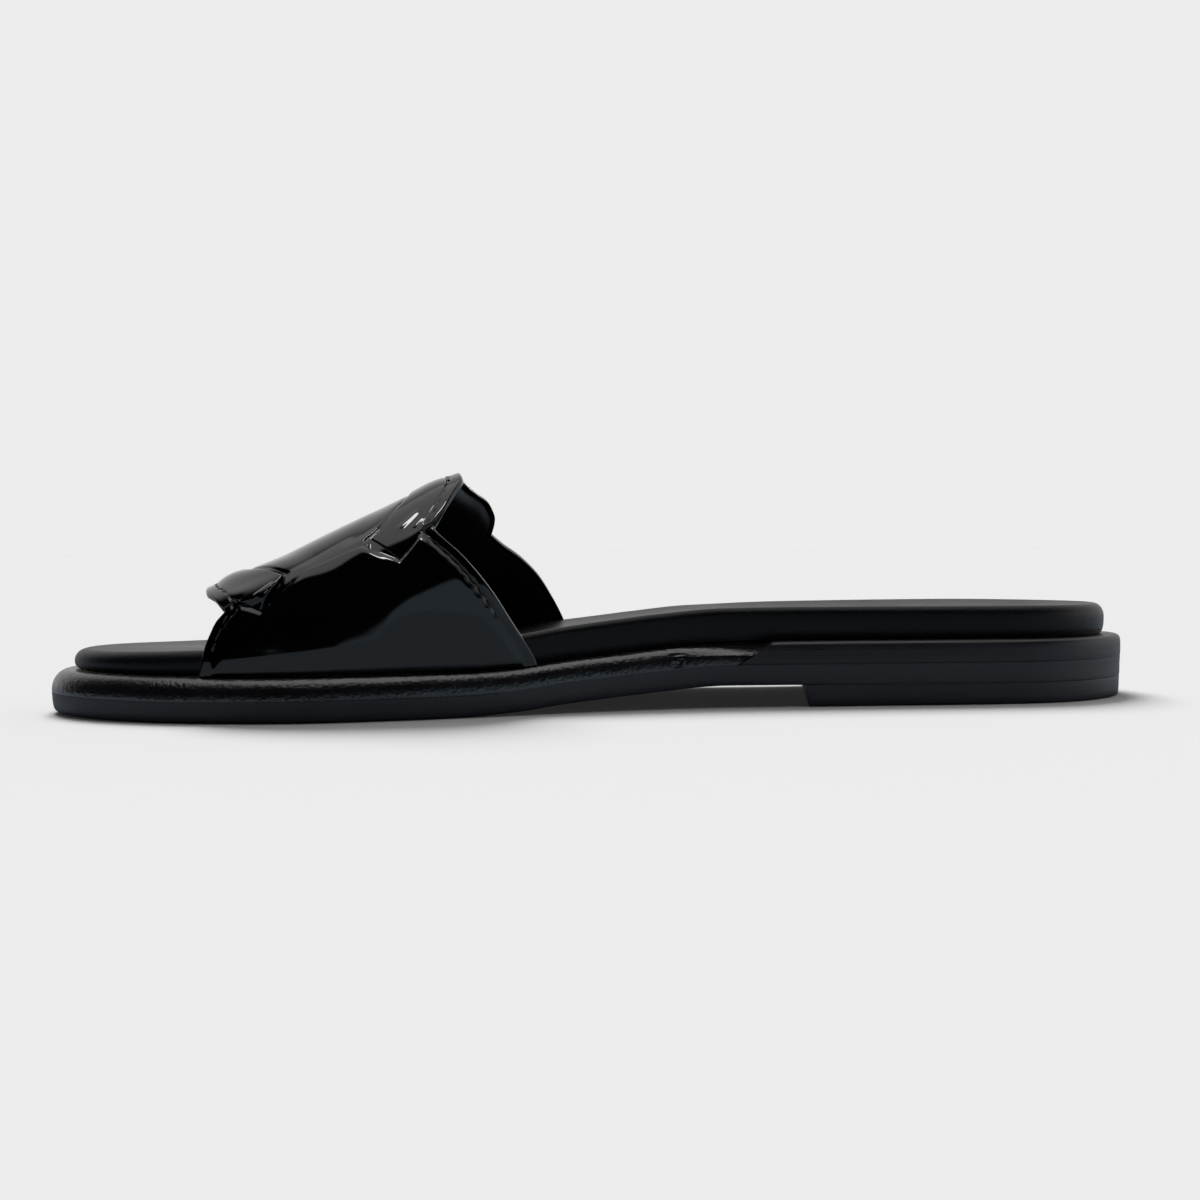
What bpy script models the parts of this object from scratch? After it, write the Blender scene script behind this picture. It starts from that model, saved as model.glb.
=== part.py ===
"""Slide sandal for the right foot: a stacked flat sole, a cushioned footbed and one padded patent band.

The toe points along -X, the inner (medial) side is -Y, and +Z is up. The origin is on the floor, under the
middle of the sole. Lengths in the tables are millimetres and become metres through MM.
"""

import math
from collections import namedtuple

import bmesh
import bpy
import numpy as np

MM = 0.001

# Driving sizes
LENGTH = 255 * MM  # sole edge, back of heel to tip of toe
GLUE_GAP = 0.3 * MM  # between pieces that are cemented together
OUTSOLE_THICK = 4.6 * MM
LIFT_BREAST_MEDIAL = 0.327  # front of the heel lift on each side, as a share of the length
LIFT_BREAST_LATERAL = 0.287
LIFT_FLARE = 0.006  # how far the breast sweeps forward at its top, as a share of the length
EDGE_CHANGE = (0.30, 0.42)  # the outsole's edge turns from square to rounded between these shares
WELT_START = 0.362  # where the rolled welt begins behind the waist, as a share of the length
WELT_WIDTH = 6.3 * MM
MIDSOLE_TUCK = WELT_WIDTH + GLUE_GAP  # how far the midsole sits back inside the welt
FOOTBED_SETBACK_HEEL = 3.9 * MM
FOOTBED_SETBACK_TOE = 5.1 * MM
TOE_ROUND = 0.735  # the toe's rounding starts at this share of the length
TOE_FULLNESS = 2.1
HEEL_ROUND = 0.135
HEEL_FULLNESS = 2.0
BAND_WALL = 2.2 * MM
BAND_CLEAR = 0.5 * MM  # between the band's foot and the footbed's side
BAND_FULLNESS_MEDIAL = 3.1  # how square the arch over the foot is on each side
BAND_FULLNESS_LATERAL = 2.05
TURN_SPREAD_MEDIAL = 2.5  # how the turn is spread down each side, from even over the top to even down the wall
TURN_SPREAD_LATERAL = 2.05
BAND_SKEW = math.tan(math.radians(11.5))  # the band follows the ball of the foot, further back outside
BAND_CREST = -11.0 * MM  # the arch's highest line lies on the inner side of the axis
PAD_HEM = 0.8 * MM  # the band's edge shows this far past a pad
PAD_EDGE_THICK = 0.9 * MM
FRONT_CROWN = 2.2 * MM  # the two pads' thickness in the middle
REAR_CROWN = 1.3 * MM
FULL_DISH_WIDTH = 40 * MM  # the footbed's dish fades where the footbed is narrower than this

# How finely the curves are cut
SOLE_STATIONS = 53
LIFT_STATIONS = 17
WELT_STATIONS = 39
FOOTBED_LANES = 8
BAND_ROWS = 15
PANEL_COLUMNS = 10
LOBE_COLUMNS = 22
PAD_ROWS = 7
ARM_COLUMNS = 5
SEAM_COLUMNS = 18

MEDIAL, LATERAL = -1, 1

# Sole outline: distances from the axis to each side, and of the line that the two ends round towards
Outline = namedtuple("Outline", "share medial lateral middle")
SOLE_OUTLINE = (
    Outline(0.00, 31.0, 31.0, 0.0),
    Outline(0.16, 31.8, 31.6, 0.0),
    Outline(0.29, 30.0, 32.4, 0.0),
    Outline(0.40, 28.8, 34.6, 0.0),
    Outline(0.50, 31.8, 38.6, 0.0),
    Outline(0.60, 38.4, 43.2, 0.0),
    Outline(0.70, 44.8, 45.8, 0.0),
    Outline(0.78, 47.2, 45.2, -1.0),
    Outline(0.88, 47.2, 42.5, -3.5),
    Outline(1.00, 46.0, 39.0, -6.0),
)

# Side profile: height of the outsole's underside, and thickness of the layer above the outsole
Profile = namedtuple("Profile", "share underside midsole")
SIDE_PROFILE = (
    Profile(0.00, 4.8, 5.0),
    Profile(0.33, 5.0, 5.0),
    Profile(0.40, 5.0, 4.8),
    Profile(0.46, 4.0, 4.6),
    Profile(0.50, 3.1, 4.5),
    Profile(0.55, 1.9, 4.5),
    Profile(0.59, 0.7, 4.6),
    Profile(0.64, 0.0, 4.8),
    Profile(0.88, 0.0, 4.9),
    Profile(1.00, 0.4, 4.9),
)

# Footbed thickness along its two edges and its middle: a heel cup and a raised inner arch
Cushion = namedtuple("Cushion", "share medial lateral middle")
FOOTBED_THICKNESS = (
    Cushion(0.00, 7.2, 7.2, 6.6),
    Cushion(0.03, 7.2, 7.2, 6.4),
    Cushion(0.15, 7.3, 7.4, 5.4),
    Cushion(0.30, 7.4, 7.2, 5.4),
    Cushion(0.40, 7.5, 6.6, 5.6),
    Cushion(0.47, 7.6, 6.2, 5.6),
    Cushion(0.55, 7.2, 5.6, 5.2),
    Cushion(0.64, 6.4, 4.8, 4.8),
    Cushion(0.80, 5.6, 4.2, 4.4),
    Cushion(0.90, 4.8, 4.2, 4.2),
    Cushion(0.96, 4.3, 4.3, 4.2),
    Cushion(1.00, 4.3, 4.3, 4.2),
)

# Edge shapes, from the bottom of a layer to its top: inset at the forefoot and at the heel
EdgeStep = namedtuple("EdgeStep", "rise fore heel")
OUTSOLE_EDGE = (
    EdgeStep(0.00, 2.3, 0.7),
    EdgeStep(0.12, 1.4, 0.5),
    EdgeStep(0.40, 0.6, 0.4),
    EdgeStep(1.00, 0.15, 0.3),
)
MIDSOLE_EDGE = (
    EdgeStep(0.00, MIDSOLE_TUCK / MM, 0.3),
    EdgeStep(0.10, MIDSOLE_TUCK / MM, 0.0),
    EdgeStep(0.78, MIDSOLE_TUCK / MM, 0.1),
    EdgeStep(0.94, MIDSOLE_TUCK / MM, 0.5),
    EdgeStep(1.00, MIDSOLE_TUCK / MM, 1.3),
)
LIFT_EDGE = (
    EdgeStep(0.00, 1.1, 1.1),
    EdgeStep(0.10, 0.8, 0.8),
    EdgeStep(0.70, 0.7, 0.7),
    EdgeStep(1.00, 0.6, 0.6),
)
FOOTBED_EDGE = (
    EdgeStep(0.00, 0.5, 0.5),
    EdgeStep(0.15, 0.0, 0.0),
    EdgeStep(0.55, 0.0, 0.0),
    EdgeStep(0.80, 0.5, 0.5),
    EdgeStep(0.94, 1.3, 1.3),
    EdgeStep(1.00, 2.6, 2.6),
)

# Rolled welt, as a closed profile: inset from the sole's edge, and height as a share of its thickness
WeltPoint = namedtuple("WeltPoint", "inset rise")
WELT_PROFILE = (
    WeltPoint(0.15, 0.00),
    WeltPoint(0.0, 0.22),
    WeltPoint(0.25, 0.48),
    WeltPoint(0.9, 0.72),
    WeltPoint(2.0, 0.90),
    WeltPoint(3.4, 0.99),
    WeltPoint(WELT_WIDTH / MM, 1.00),
    WeltPoint(WELT_WIDTH / MM, 0.00),
)

# Band: height of the arch's inside along its crest. Reach runs from the sole's middle towards the toe
Crest = namedtuple("Crest", "reach height")
BAND_CREST_LINE = (
    Crest(4, 55.0),
    Crest(28, 52.6),
    Crest(34, 50.8),
    Crest(40, 48.0),
    Crest(45, 46.0),
    Crest(50, 43.8),
    Crest(60, 39.0),
    Crest(70, 34.0),
    Crest(80, 29.2),
    Crest(88, 25.6),
    Crest(94, 22.5),
)

# Band and pad borders: reach on the inner and outer side at each turn, in degrees down from the crest
Border = namedtuple("Border", "turn medial lateral")
FRONT_LOBE = (
    Border(0, 88.2, 88.2),
    Border(15, 87.1, 87.6),
    Border(30, 85.2, 86.0),
    Border(44, 81.8, 82.2),
    Border(54.5, 79.4, 79.1),
)
FRONT_PANEL = (
    Border(54.5, 79.4, 79.1),
    Border(60, 81.1, 80.6),
    Border(68, 82.3, 81.9),
    Border(75, 83.3, 82.9),
    Border(90, 84.5, 83.8),
)
REAR_LOBE = (
    Border(0, 33.4, 33.4),
    Border(13, 31.2, 34.2),
    Border(21, 30.6, 33.5),
    Border(30, 32.0, 31.7),
    Border(37, 33.6, 31.2),
    Border(44, 35.8, 32.8),
)
REAR_PANEL = (
    Border(44, 35.8, 32.8),
    Border(47, 35.0, 31.8),
    Border(51, 33.4, 30.1),
    Border(58, 30.0, 25.9),
    Border(65, 26.6, 22.3),
    Border(72, 23.2, 19.6),
    Border(82, 18.6, 16.2),
    Border(90, 14.0, 14.2),
)
FRONT_SEAM = (
    Border(0, 80.2, 80.2),
    Border(18, 76.9, 77.3),
    Border(33, 70.8, 71.1),
    Border(45, 65.9, 66.5),
)
FRONT_ARM = (Border(45, 65.9, 66.5), Border(62, 70.7, 71.0))
FRONT_FOLD = (Border(54.5, 79.4, 79.1), Border(62, 70.7, 71.0))
REAR_SEAM = (
    Border(0, 42.4, 42.4),
    Border(18, 42.7, 43.2),
    Border(29, 44.9, 45.5),
    Border(36, 46.7, 47.4),
    Border(41, 49.4, 50.0),
)
REAR_ARM = (Border(41, 49.4, 50.0), Border(55.5, 42.8, 43.0))
REAR_FOLD = (Border(44, 35.8, 32.8), Border(55.5, 42.8, 43.0))
ARM_TIP = 0.9  # a pad stops this share of the way from notch to corner, where it still has some width


def smooth(table, column, at):
    """Reads one column of a table with a curve that never overshoots its rows."""
    x = np.array([row[0] for row in table], float)
    y = np.array([getattr(row, column) for row in table], float)
    at = np.clip(np.asarray(at, float), x[0], x[-1])
    step = np.diff(x)
    slope = np.diff(y) / step
    lean = np.zeros_like(y)
    lean[0], lean[-1] = slope[0], slope[-1]
    for i in range(1, len(y) - 1):
        if slope[i - 1] * slope[i] > 0:
            before, after = 2 * step[i] + step[i - 1], step[i] + 2 * step[i - 1]
            lean[i] = (before + after) / (before / slope[i - 1] + after / slope[i])
    i = np.clip(np.searchsorted(x, at, side="right") - 1, 0, len(step) - 1)
    t = (at - x[i]) / step[i]
    return (
        y[i] * (1 + 2 * t) * (1 - t) ** 2
        + y[i + 1] * t * t * (3 - 2 * t)
        + step[i] * t * (1 - t) * (lean[i] * (1 - t) - lean[i + 1] * t)
    )


def end_rounding(share):
    """Share of the full width left at a station: an arc at the heel and a fuller one at the toe."""
    share = np.asarray(share, float)
    heel = np.clip((HEEL_ROUND - share) / HEEL_ROUND, 0, 1)
    toe = np.clip((share - TOE_ROUND) / (1 - TOE_ROUND), 0, 1)
    heel_part = (1 - heel**HEEL_FULLNESS) ** (1 / HEEL_FULLNESS)
    toe_part = (1 - toe**TOE_FULLNESS) ** (1 / TOE_FULLNESS)
    return heel_part * toe_part


def outline(share, side):
    """Points x, y of the sole's edge on one side. Share runs from the heel to the toe."""
    column = "medial" if side == MEDIAL else "lateral"
    middle = smooth(SOLE_OUTLINE, "middle", share) * MM
    half = smooth(SOLE_OUTLINE, column, share) * MM - side * middle
    return np.stack([LENGTH / 2 - share * LENGTH, middle + side * half * end_rounding(share)], axis=-1)


def side_shift():
    """Half of how far the outline leans to one side, so that the sole's box is centred on the origin."""
    share = np.linspace(0, 1, 400)
    return (outline(share, MEDIAL)[:, 1].min() + outline(share, LATERAL)[:, 1].max()) / 2


def sole_edge(share, side, inset):
    """The sole's edge on one side, moved in square to itself by inset."""
    share = np.asarray(share, float)
    turn = np.arccos(1 - 2 * share)
    ahead = (1 - np.cos(np.minimum(turn + 1e-4, math.pi))) / 2
    behind = (1 - np.cos(np.maximum(turn - 1e-4, 0))) / 2
    run = outline(ahead, side) - outline(behind, side)
    inward = side * np.stack([-run[:, 1], run[:, 0]], axis=-1)
    inward[share < 1e-9] = (-1, 0)
    inward[share > 1 - 1e-9] = (1, 0)
    inward /= np.linalg.norm(inward, axis=-1, keepdims=True)
    inset = np.broadcast_to(np.asarray(inset, float), share.shape)
    return outline(share, side) + inward * inset[:, None] - (0, SIDE_SHIFT)


SIDE_SHIFT = side_shift()


def share_of(x):
    return (LENGTH / 2 - x) / LENGTH


def underside(x):
    return smooth(SIDE_PROFILE, "underside", share_of(x)) * MM


def outsole_top(x):
    return underside(x) + OUTSOLE_THICK


def midsole_top(x):
    return outsole_top(x) + GLUE_GAP + smooth(SIDE_PROFILE, "midsole", share_of(x)) * MM


def stations(count, first=0.0, last=1.0):
    """Shares of the length, closer together towards both ends."""
    return first + (last - first) * (1 - np.cos(np.linspace(0, math.pi, count))) / 2


def new_part(name, points, faces, material):
    """One closed mesh object, its doubled points merged and its faces pointing out."""
    mesh = bpy.data.meshes.new(name)
    shape = bmesh.new()
    corners = [shape.verts.new(point) for point in points]
    for face in faces:
        shape.faces.new([corners[i] for i in face])
    bmesh.ops.remove_doubles(shape, verts=shape.verts, dist=1e-6)
    bmesh.ops.recalc_face_normals(shape, faces=shape.faces)
    shape.to_mesh(mesh)
    shape.free()
    mesh.shade_smooth()
    mesh.set_sharp_from_angle(angle=math.radians(40))
    mesh.materials.append(material)
    part = bpy.data.objects.new(name, mesh)
    bpy.context.scene.collection.objects.link(part)
    part.parent = SANDAL
    return part


def ring_faces(rings, count):
    """Quads between successive closed rings of count points."""
    return [
        (r * count + i, r * count + (i + 1) % count, (r + 1) * count + (i + 1) % count, (r + 1) * count + i)
        for r in range(rings - 1)
        for i in range(count)
    ]


def layer(name, rings, lanes, middle_height, material):
    """A sole layer: closed rings from its bottom to its top, then a top face of lanes across the width.

    A ring holds the medial points from heel to toe and then the lateral ones back to the heel.
    """
    count = len(rings[0])
    half = count // 2
    points = [tuple(p) for ring in rings for p in ring]
    faces = ring_faces(len(rings), count)
    # Underside: one strip across the first ring
    for i in range(half - 1):
        faces.append((i, i + 1, count - 2 - i, count - 1 - i))
    # Top: lanes between the two sides of the last ring
    top = len(points) - count
    grid = []
    for i in range(half):
        left, right = np.array(points[top + i]), np.array(points[top + count - 1 - i])
        row = [top + i]
        for lane in range(1, lanes):
            across = lane / lanes
            point = left * (1 - across) + right * across
            if middle_height is not None:
                width = np.linalg.norm(right - left)
                fade = min(1.0, width / FULL_DISH_WIDTH)
                point[2] += fade * middle_height(point[0], across, left[2], right[2])
            row.append(len(points))
            points.append(tuple(point))
        row.append(top + count - 1 - i)
        grid.append(row)
    for near, far in zip(grid, grid[1:]):
        for a, b, c, d in zip(near, near[1:], far[1:], far):
            faces.append((a, b, c, d))
    return new_part(name, points, faces, material)


def sole_ring(shares, inset, height):
    """A closed ring of the sole's outline at a height that is a function of x and side.

    Shares are the stations of the medial and of the lateral side, as a pair.
    """
    sides = []
    for side, share in zip((MEDIAL, LATERAL), shares):
        edge = sole_edge(share, side, inset)
        level = np.broadcast_to(height(edge[:, 0], side), edge.shape[:1])
        sides.append(np.column_stack([edge, level]))
    return np.concatenate([sides[0], sides[1][::-1]])


def edge_inset(step, share, start, end):
    """Inset of an edge step: its heel value, turning into its forefoot value between two shares."""
    fore = np.clip((share - start) / (end - start), 0, 1)
    return (step.heel * (1 - fore) + step.fore * fore) * MM


def make_outsole(material):
    share = stations(SOLE_STATIONS)
    rings = []
    for step in OUTSOLE_EDGE:

        def height(x, side):
            return underside(x) + step.rise * OUTSOLE_THICK

        rings.append(sole_ring((share, share), edge_inset(step, share, *EDGE_CHANGE), height))
    return layer("outsole", rings, 1, None, material)


def make_heel_lift(material):
    """The block under the heel. Its front face, the breast, runs further forward on the inner side."""
    spread = stations(2 * LIFT_STATIONS - 1, 0, 2)[:LIFT_STATIONS]
    rings = []
    for step in LIFT_EDGE:

        def height(x, side):
            return step.rise * (underside(x) - GLUE_GAP)

        flare = LIFT_FLARE * step.rise**4
        medial = spread * (LIFT_BREAST_MEDIAL + flare)
        lateral = spread * (LIFT_BREAST_LATERAL + flare)
        rings.append(sole_ring((medial, lateral), step.heel * MM, height))
    return layer("heel_lift", rings, 1, None, material)


def make_midsole(material):
    """The layer over the outsole: out to the edge round the heel, stepped in behind the welt further on."""
    step_end = WELT_START - GLUE_GAP / LENGTH
    step_start = step_end - GLUE_GAP / LENGTH
    share = np.sort(np.append(stations(SOLE_STATIONS - 2), [step_start, step_end]))
    rings = []
    for step in MIDSOLE_EDGE:

        def height(x, side):
            floor = outsole_top(x) + GLUE_GAP
            return floor + step.rise * (midsole_top(x) - floor)

        rings.append(sole_ring((share, share), edge_inset(step, share, step_start, step_end), height))
    return layer("midsole", rings, 1, None, material)


def make_welt(material):
    """The rolled strip round the forefoot, from the waist on one side to the waist on the other."""
    share = WELT_START + (1 - WELT_START) * np.sin(np.linspace(0, math.pi / 2, WELT_STATIONS))
    loops = []
    for point in WELT_PROFILE:
        sides = []
        for side in (MEDIAL, LATERAL):
            edge = sole_edge(share, side, point.inset * MM)
            floor = outsole_top(edge[:, 0]) + GLUE_GAP
            level = floor + point.rise * (midsole_top(edge[:, 0]) - floor)
            sides.append(np.column_stack([edge, level]))
        loops.append(np.concatenate([sides[0], sides[1][-2::-1]]))
    sections = np.stack(loops, axis=1)
    count = len(WELT_PROFILE)
    points = [tuple(p) for section in sections for p in section]
    faces = ring_faces(len(sections), count)
    faces.append(tuple(range(count)))
    faces.append(tuple(range(len(points) - count, len(points))))
    return new_part("welt", points, faces, material)


def footbed_setback(share):
    return FOOTBED_SETBACK_HEEL * (1 - share) + FOOTBED_SETBACK_TOE * share


def footbed_top(x, side):
    """Height of the footbed's edge on one side."""
    column = "medial" if side == MEDIAL else "lateral"
    return midsole_top(x) + GLUE_GAP + smooth(FOOTBED_THICKNESS, column, share_of(x)) * MM


def make_footbed(material):
    share = stations(SOLE_STATIONS)
    rings = []
    for step in FOOTBED_EDGE:

        def height(x, side):
            floor = midsole_top(x) + GLUE_GAP
            return floor + step.rise * (footbed_top(x, side) - floor)

        rings.append(sole_ring((share, share), footbed_setback(share) + step.fore * MM, height))

    def dish(x, across, left, right):
        """How far the top sinks below the straight line between its two edges."""
        middle = midsole_top(x) + GLUE_GAP + smooth(FOOTBED_THICKNESS, "middle", share_of(x)) * MM
        bowl = 1 - (2 * across - 1) ** 2
        return (middle - (left + right) / 2) * bowl**0.7

    return layer("footbed", rings, FOOTBED_LANES, dish, material)


def footbed_side(x, side):
    """y of the footbed's side wall at x."""
    share = np.linspace(0, 1, 300)
    edge = sole_edge(share, side, footbed_setback(share))[::-1]
    return np.interp(x, edge[:, 0], edge[:, 1])


def band_foot(reach, side):
    """Where a section of the arch stands: y of its foot on one side, just outside the footbed."""
    y = np.full_like(reach, side * 0.036)
    for _ in range(6):
        x = -(reach - BAND_SKEW * (y - BAND_CREST))
        y = footbed_side(x, side) + side * BAND_CLEAR
    return y


def arch(reach, turn):
    """Inner surface of the band. Turn is the angle from the crest, negative on the inner side of the foot."""
    reach, turn = np.broadcast_arrays(np.asarray(reach, float), np.radians(np.asarray(turn, float)))
    fullness = np.where(turn < 0, BAND_FULLNESS_MEDIAL, BAND_FULLNESS_LATERAL)
    spread = np.where(turn < 0, TURN_SPREAD_MEDIAL, TURN_SPREAD_LATERAL)
    up = np.maximum(np.cos(turn), 0) ** (2 / spread)
    out = np.maximum(1 - up**fullness, 0) ** (1 / fullness)
    flat = reach.ravel()
    foot = np.where(turn.ravel() < 0, band_foot(flat, MEDIAL), band_foot(flat, LATERAL)).reshape(reach.shape)
    y = BAND_CREST + (foot - BAND_CREST) * out
    x = -(reach - BAND_SKEW * (y - BAND_CREST))
    floor = midsole_top(x) + GLUE_GAP
    crest = smooth(BAND_CREST_LINE, "height", reach / MM) * MM
    return np.stack([x, y, floor + (crest - floor) * up], axis=-1)


def arch_out(reach, turn, lift):
    """A point of the arch moved out along the surface's normal."""
    point = arch(reach, turn)
    step_reach, step_turn = 0.4 * MM, 0.6
    turn = np.asarray(turn, float)
    inner = np.clip(turn, -90 + step_turn, 90 - step_turn)
    along = arch(reach + step_reach, inner) - arch(reach - step_reach, inner)
    round_ = arch(reach, inner + step_turn) - arch(reach, inner - step_turn)
    normal = np.cross(round_, along)
    normal /= np.linalg.norm(normal, axis=-1, keepdims=True)
    # At the two feet the wall stands straight up, so its thickness is level there
    level = np.clip((np.abs(turn) - 70) / 20, 0, 1)[..., None]
    normal[..., 2:] *= 1 - level
    normal /= np.linalg.norm(normal, axis=-1, keepdims=True)
    return point + normal * np.asarray(lift)[..., None]


def border(tables, turn):
    """Reach of a border at each turn, read from whichever table covers it."""
    size = np.abs(turn)
    reach = np.zeros_like(size)
    for table in tables:
        inside = (size >= table[0].turn - 1e-9) & (size <= table[-1].turn + 1e-9)
        for column, side in (("medial", turn <= 0), ("lateral", turn > 0)):
            reach[inside & side] = smooth(table, column, size[inside & side]) * MM
    return reach


def both_sides(turns):
    """Turns from the crest down, mirrored to run from the inner foot to the outer one."""
    return np.concatenate([-turns[:0:-1], turns])


def wall(name, under, over, material):
    """A closed solid between two grids of points, joined round their borders."""
    rows, columns = under.shape[:2]
    size = rows * columns
    points = [tuple(p) for p in np.concatenate([under.reshape(-1, 3), over.reshape(-1, 3)])]
    faces = []
    for r in range(rows - 1):
        for c in range(columns - 1):
            quad = (r * columns + c, r * columns + c + 1, (r + 1) * columns + c + 1, (r + 1) * columns + c)
            faces.append(quad)
            faces.append(tuple(size + i for i in reversed(quad)))
    rim = [r * columns for r in range(rows)]
    rim += [(rows - 1) * columns + c for c in range(1, columns)]
    rim += [r * columns + columns - 1 for r in range(rows - 2, -1, -1)]
    rim += [c for c in range(columns - 2, 0, -1)]
    for a, b in zip(rim, rim[1:] + rim[:1]):
        faces.append((a, b, size + b, size + a))
    return new_part(name, points, faces, material)


def band_columns(notch):
    """Turns of the band's columns at one edge: evenly across the lobe, and evenly down each side panel."""
    lobe = np.linspace(0, notch, LOBE_COLUMNS // 2 + 1)
    panel = np.linspace(notch, 90, PANEL_COLUMNS + 1)
    return both_sides(np.concatenate([lobe, panel[1:]]))


def make_band(material):
    """The upper: one arched wall, open at toe and heel, its edges notched beside the two pads."""
    front_turn = band_columns(FRONT_LOBE[-1].turn)
    rear_turn = band_columns(REAR_LOBE[-1].turn)
    front = border((FRONT_LOBE, FRONT_PANEL), front_turn)
    rear = border((REAR_LOBE, REAR_PANEL), rear_turn)
    share = np.linspace(0, 1, BAND_ROWS)[:, None]
    reach = front * (1 - share) + rear * share
    turn = front_turn * (1 - share) + rear_turn * share
    inner = arch_out(reach, turn, np.zeros_like(reach))
    outer = arch_out(reach, turn, np.full_like(reach, BAND_WALL))
    return wall("band", inner, outer, material)


def make_pad(name, seam, arm, lobe, fold, crown, material):
    """A padded tab on the band: highest along its middle, low at its border, with a pointed arm each side."""
    horn, corner, notch = arm[0].turn, arm[-1].turn, lobe[-1].turn
    tip = notch + (corner - notch) * ARM_TIP
    turn = both_sides(
        np.concatenate([np.linspace(0, horn, SEAM_COLUMNS // 2 + 1), np.linspace(horn, tip, ARM_COLUMNS + 1)[1:]])
    )
    inside = border((seam, arm), turn)
    outside = border((lobe, fold), turn)
    toward = np.sign(outside - inside)
    outside = outside - toward * PAD_HEM
    across = np.linspace(0, 1, PAD_ROWS)[:, None]
    reach = inside * (1 - across) + outside * across
    swell = (1 - (2 * across - 1) ** 2) * (1 - (np.abs(turn) / tip) ** 3)
    turn = np.broadcast_to(turn, reach.shape)
    seat = BAND_WALL + GLUE_GAP
    under = arch_out(reach, turn, np.full_like(reach, seat))
    over = arch_out(reach, turn, seat + PAD_EDGE_THICK + (crown - PAD_EDGE_THICK) * swell)
    return wall(name, under, over, material)


def finish(name, colour, roughness):
    material = bpy.data.materials.new(name)
    material.use_nodes = True
    shader = material.node_tree.nodes["Principled BSDF"]
    shader.inputs["Base Color"].default_value = (*colour, 1)
    shader.inputs["Roughness"].default_value = roughness
    shader.inputs["Metallic"].default_value = 0
    return material


for old in list(bpy.data.objects):
    bpy.data.objects.remove(old)
SANDAL = bpy.data.objects.new("sandal", None)
bpy.context.scene.collection.objects.link(SANDAL)

PATENT = finish("patent", (0.008, 0.008, 0.009), 0.08)
SOLE_RUBBER = finish("sole_rubber", (0.030, 0.030, 0.034), 0.50)
MIDSOLE_BOARD = finish("midsole_board", (0.028, 0.028, 0.032), 0.45)
WELT_LEATHER = finish("welt_leather", (0.020, 0.020, 0.023), 0.42)
CUSHION_LEATHER = finish("cushion_leather", (0.018, 0.018, 0.021), 0.45)

make_outsole(SOLE_RUBBER)
make_heel_lift(SOLE_RUBBER)
make_midsole(MIDSOLE_BOARD)
make_welt(WELT_LEATHER)
make_footbed(CUSHION_LEATHER)
make_band(PATENT)
make_pad("front_pad", FRONT_SEAM, FRONT_ARM, FRONT_LOBE, FRONT_FOLD, FRONT_CROWN, PATENT)
make_pad("rear_pad", REAR_SEAM, REAR_ARM, REAR_LOBE, REAR_FOLD, REAR_CROWN, PATENT)
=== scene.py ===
import math

import bpy
import numpy as np
from mathutils import Matrix, Vector
from mathutils.kdtree import KDTree


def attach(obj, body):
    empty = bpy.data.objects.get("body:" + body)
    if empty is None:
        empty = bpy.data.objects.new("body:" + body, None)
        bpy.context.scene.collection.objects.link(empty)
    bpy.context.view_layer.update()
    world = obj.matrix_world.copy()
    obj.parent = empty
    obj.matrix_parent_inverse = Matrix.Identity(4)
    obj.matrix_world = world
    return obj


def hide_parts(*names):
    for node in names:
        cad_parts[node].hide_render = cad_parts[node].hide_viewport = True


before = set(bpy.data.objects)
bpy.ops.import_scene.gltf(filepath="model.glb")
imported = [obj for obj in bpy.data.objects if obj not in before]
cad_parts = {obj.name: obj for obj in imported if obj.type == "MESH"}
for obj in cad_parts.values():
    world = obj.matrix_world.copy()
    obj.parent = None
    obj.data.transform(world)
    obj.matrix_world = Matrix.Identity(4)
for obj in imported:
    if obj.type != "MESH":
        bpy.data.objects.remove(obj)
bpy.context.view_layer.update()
mm = 0.001
medial, lateral = -1, 1  # inner side of the foot is -Y
print("frame loaded:", ", ".join(sorted(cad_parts)))


# one column of a table, read on a curve that never overshoots its rows
def readCurve(rows, column, at):
    x = np.array([row[0] for row in rows], float)
    y = np.array([row[column] for row in rows], float)
    at = np.clip(np.asarray(at, float), x[0], x[-1])
    step = np.diff(x)
    slope = np.diff(y) / step
    lean = np.zeros_like(y)
    lean[0], lean[-1] = slope[0], slope[-1]
    for i in range(1, len(y) - 1):
        if slope[i - 1] * slope[i] > 0:
            before, after = 2 * step[i] + step[i - 1], step[i] + 2 * step[i - 1]
            lean[i] = (before + after) / (before / slope[i - 1] + after / slope[i])
    i = np.clip(np.searchsorted(x, at, side="right") - 1, 0, len(step) - 1)
    t = (at - x[i]) / step[i]
    rise = y[i] * (1 + 2 * t) * (1 - t) ** 2 + y[i + 1] * t * t * (3 - 2 * t)
    return rise + step[i] * t * (1 - t) * (lean[i] * (1 - t) - lean[i + 1] * t)


def ease(t):
    t = np.clip(t, 0, 1)
    return t * t * (3 - 2 * t)


# a soft rise or dip: 1 in the middle
def bell(off, width):
    return np.exp(-((off / width) ** 2))


# quarter round: 0 at the border, 1 from the given width inwards
def rollOver(distance, width):
    t = np.clip(np.asarray(distance, float) / width, 0, 1)
    return np.sqrt(1 - (1 - t) ** 2)


# mesh helpers
def clearPick():
    if bpy.context.object and bpy.context.object.mode != "OBJECT":
        bpy.ops.object.mode_set(mode="OBJECT")
    bpy.ops.object.select_all(action="DESELECT")


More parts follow.
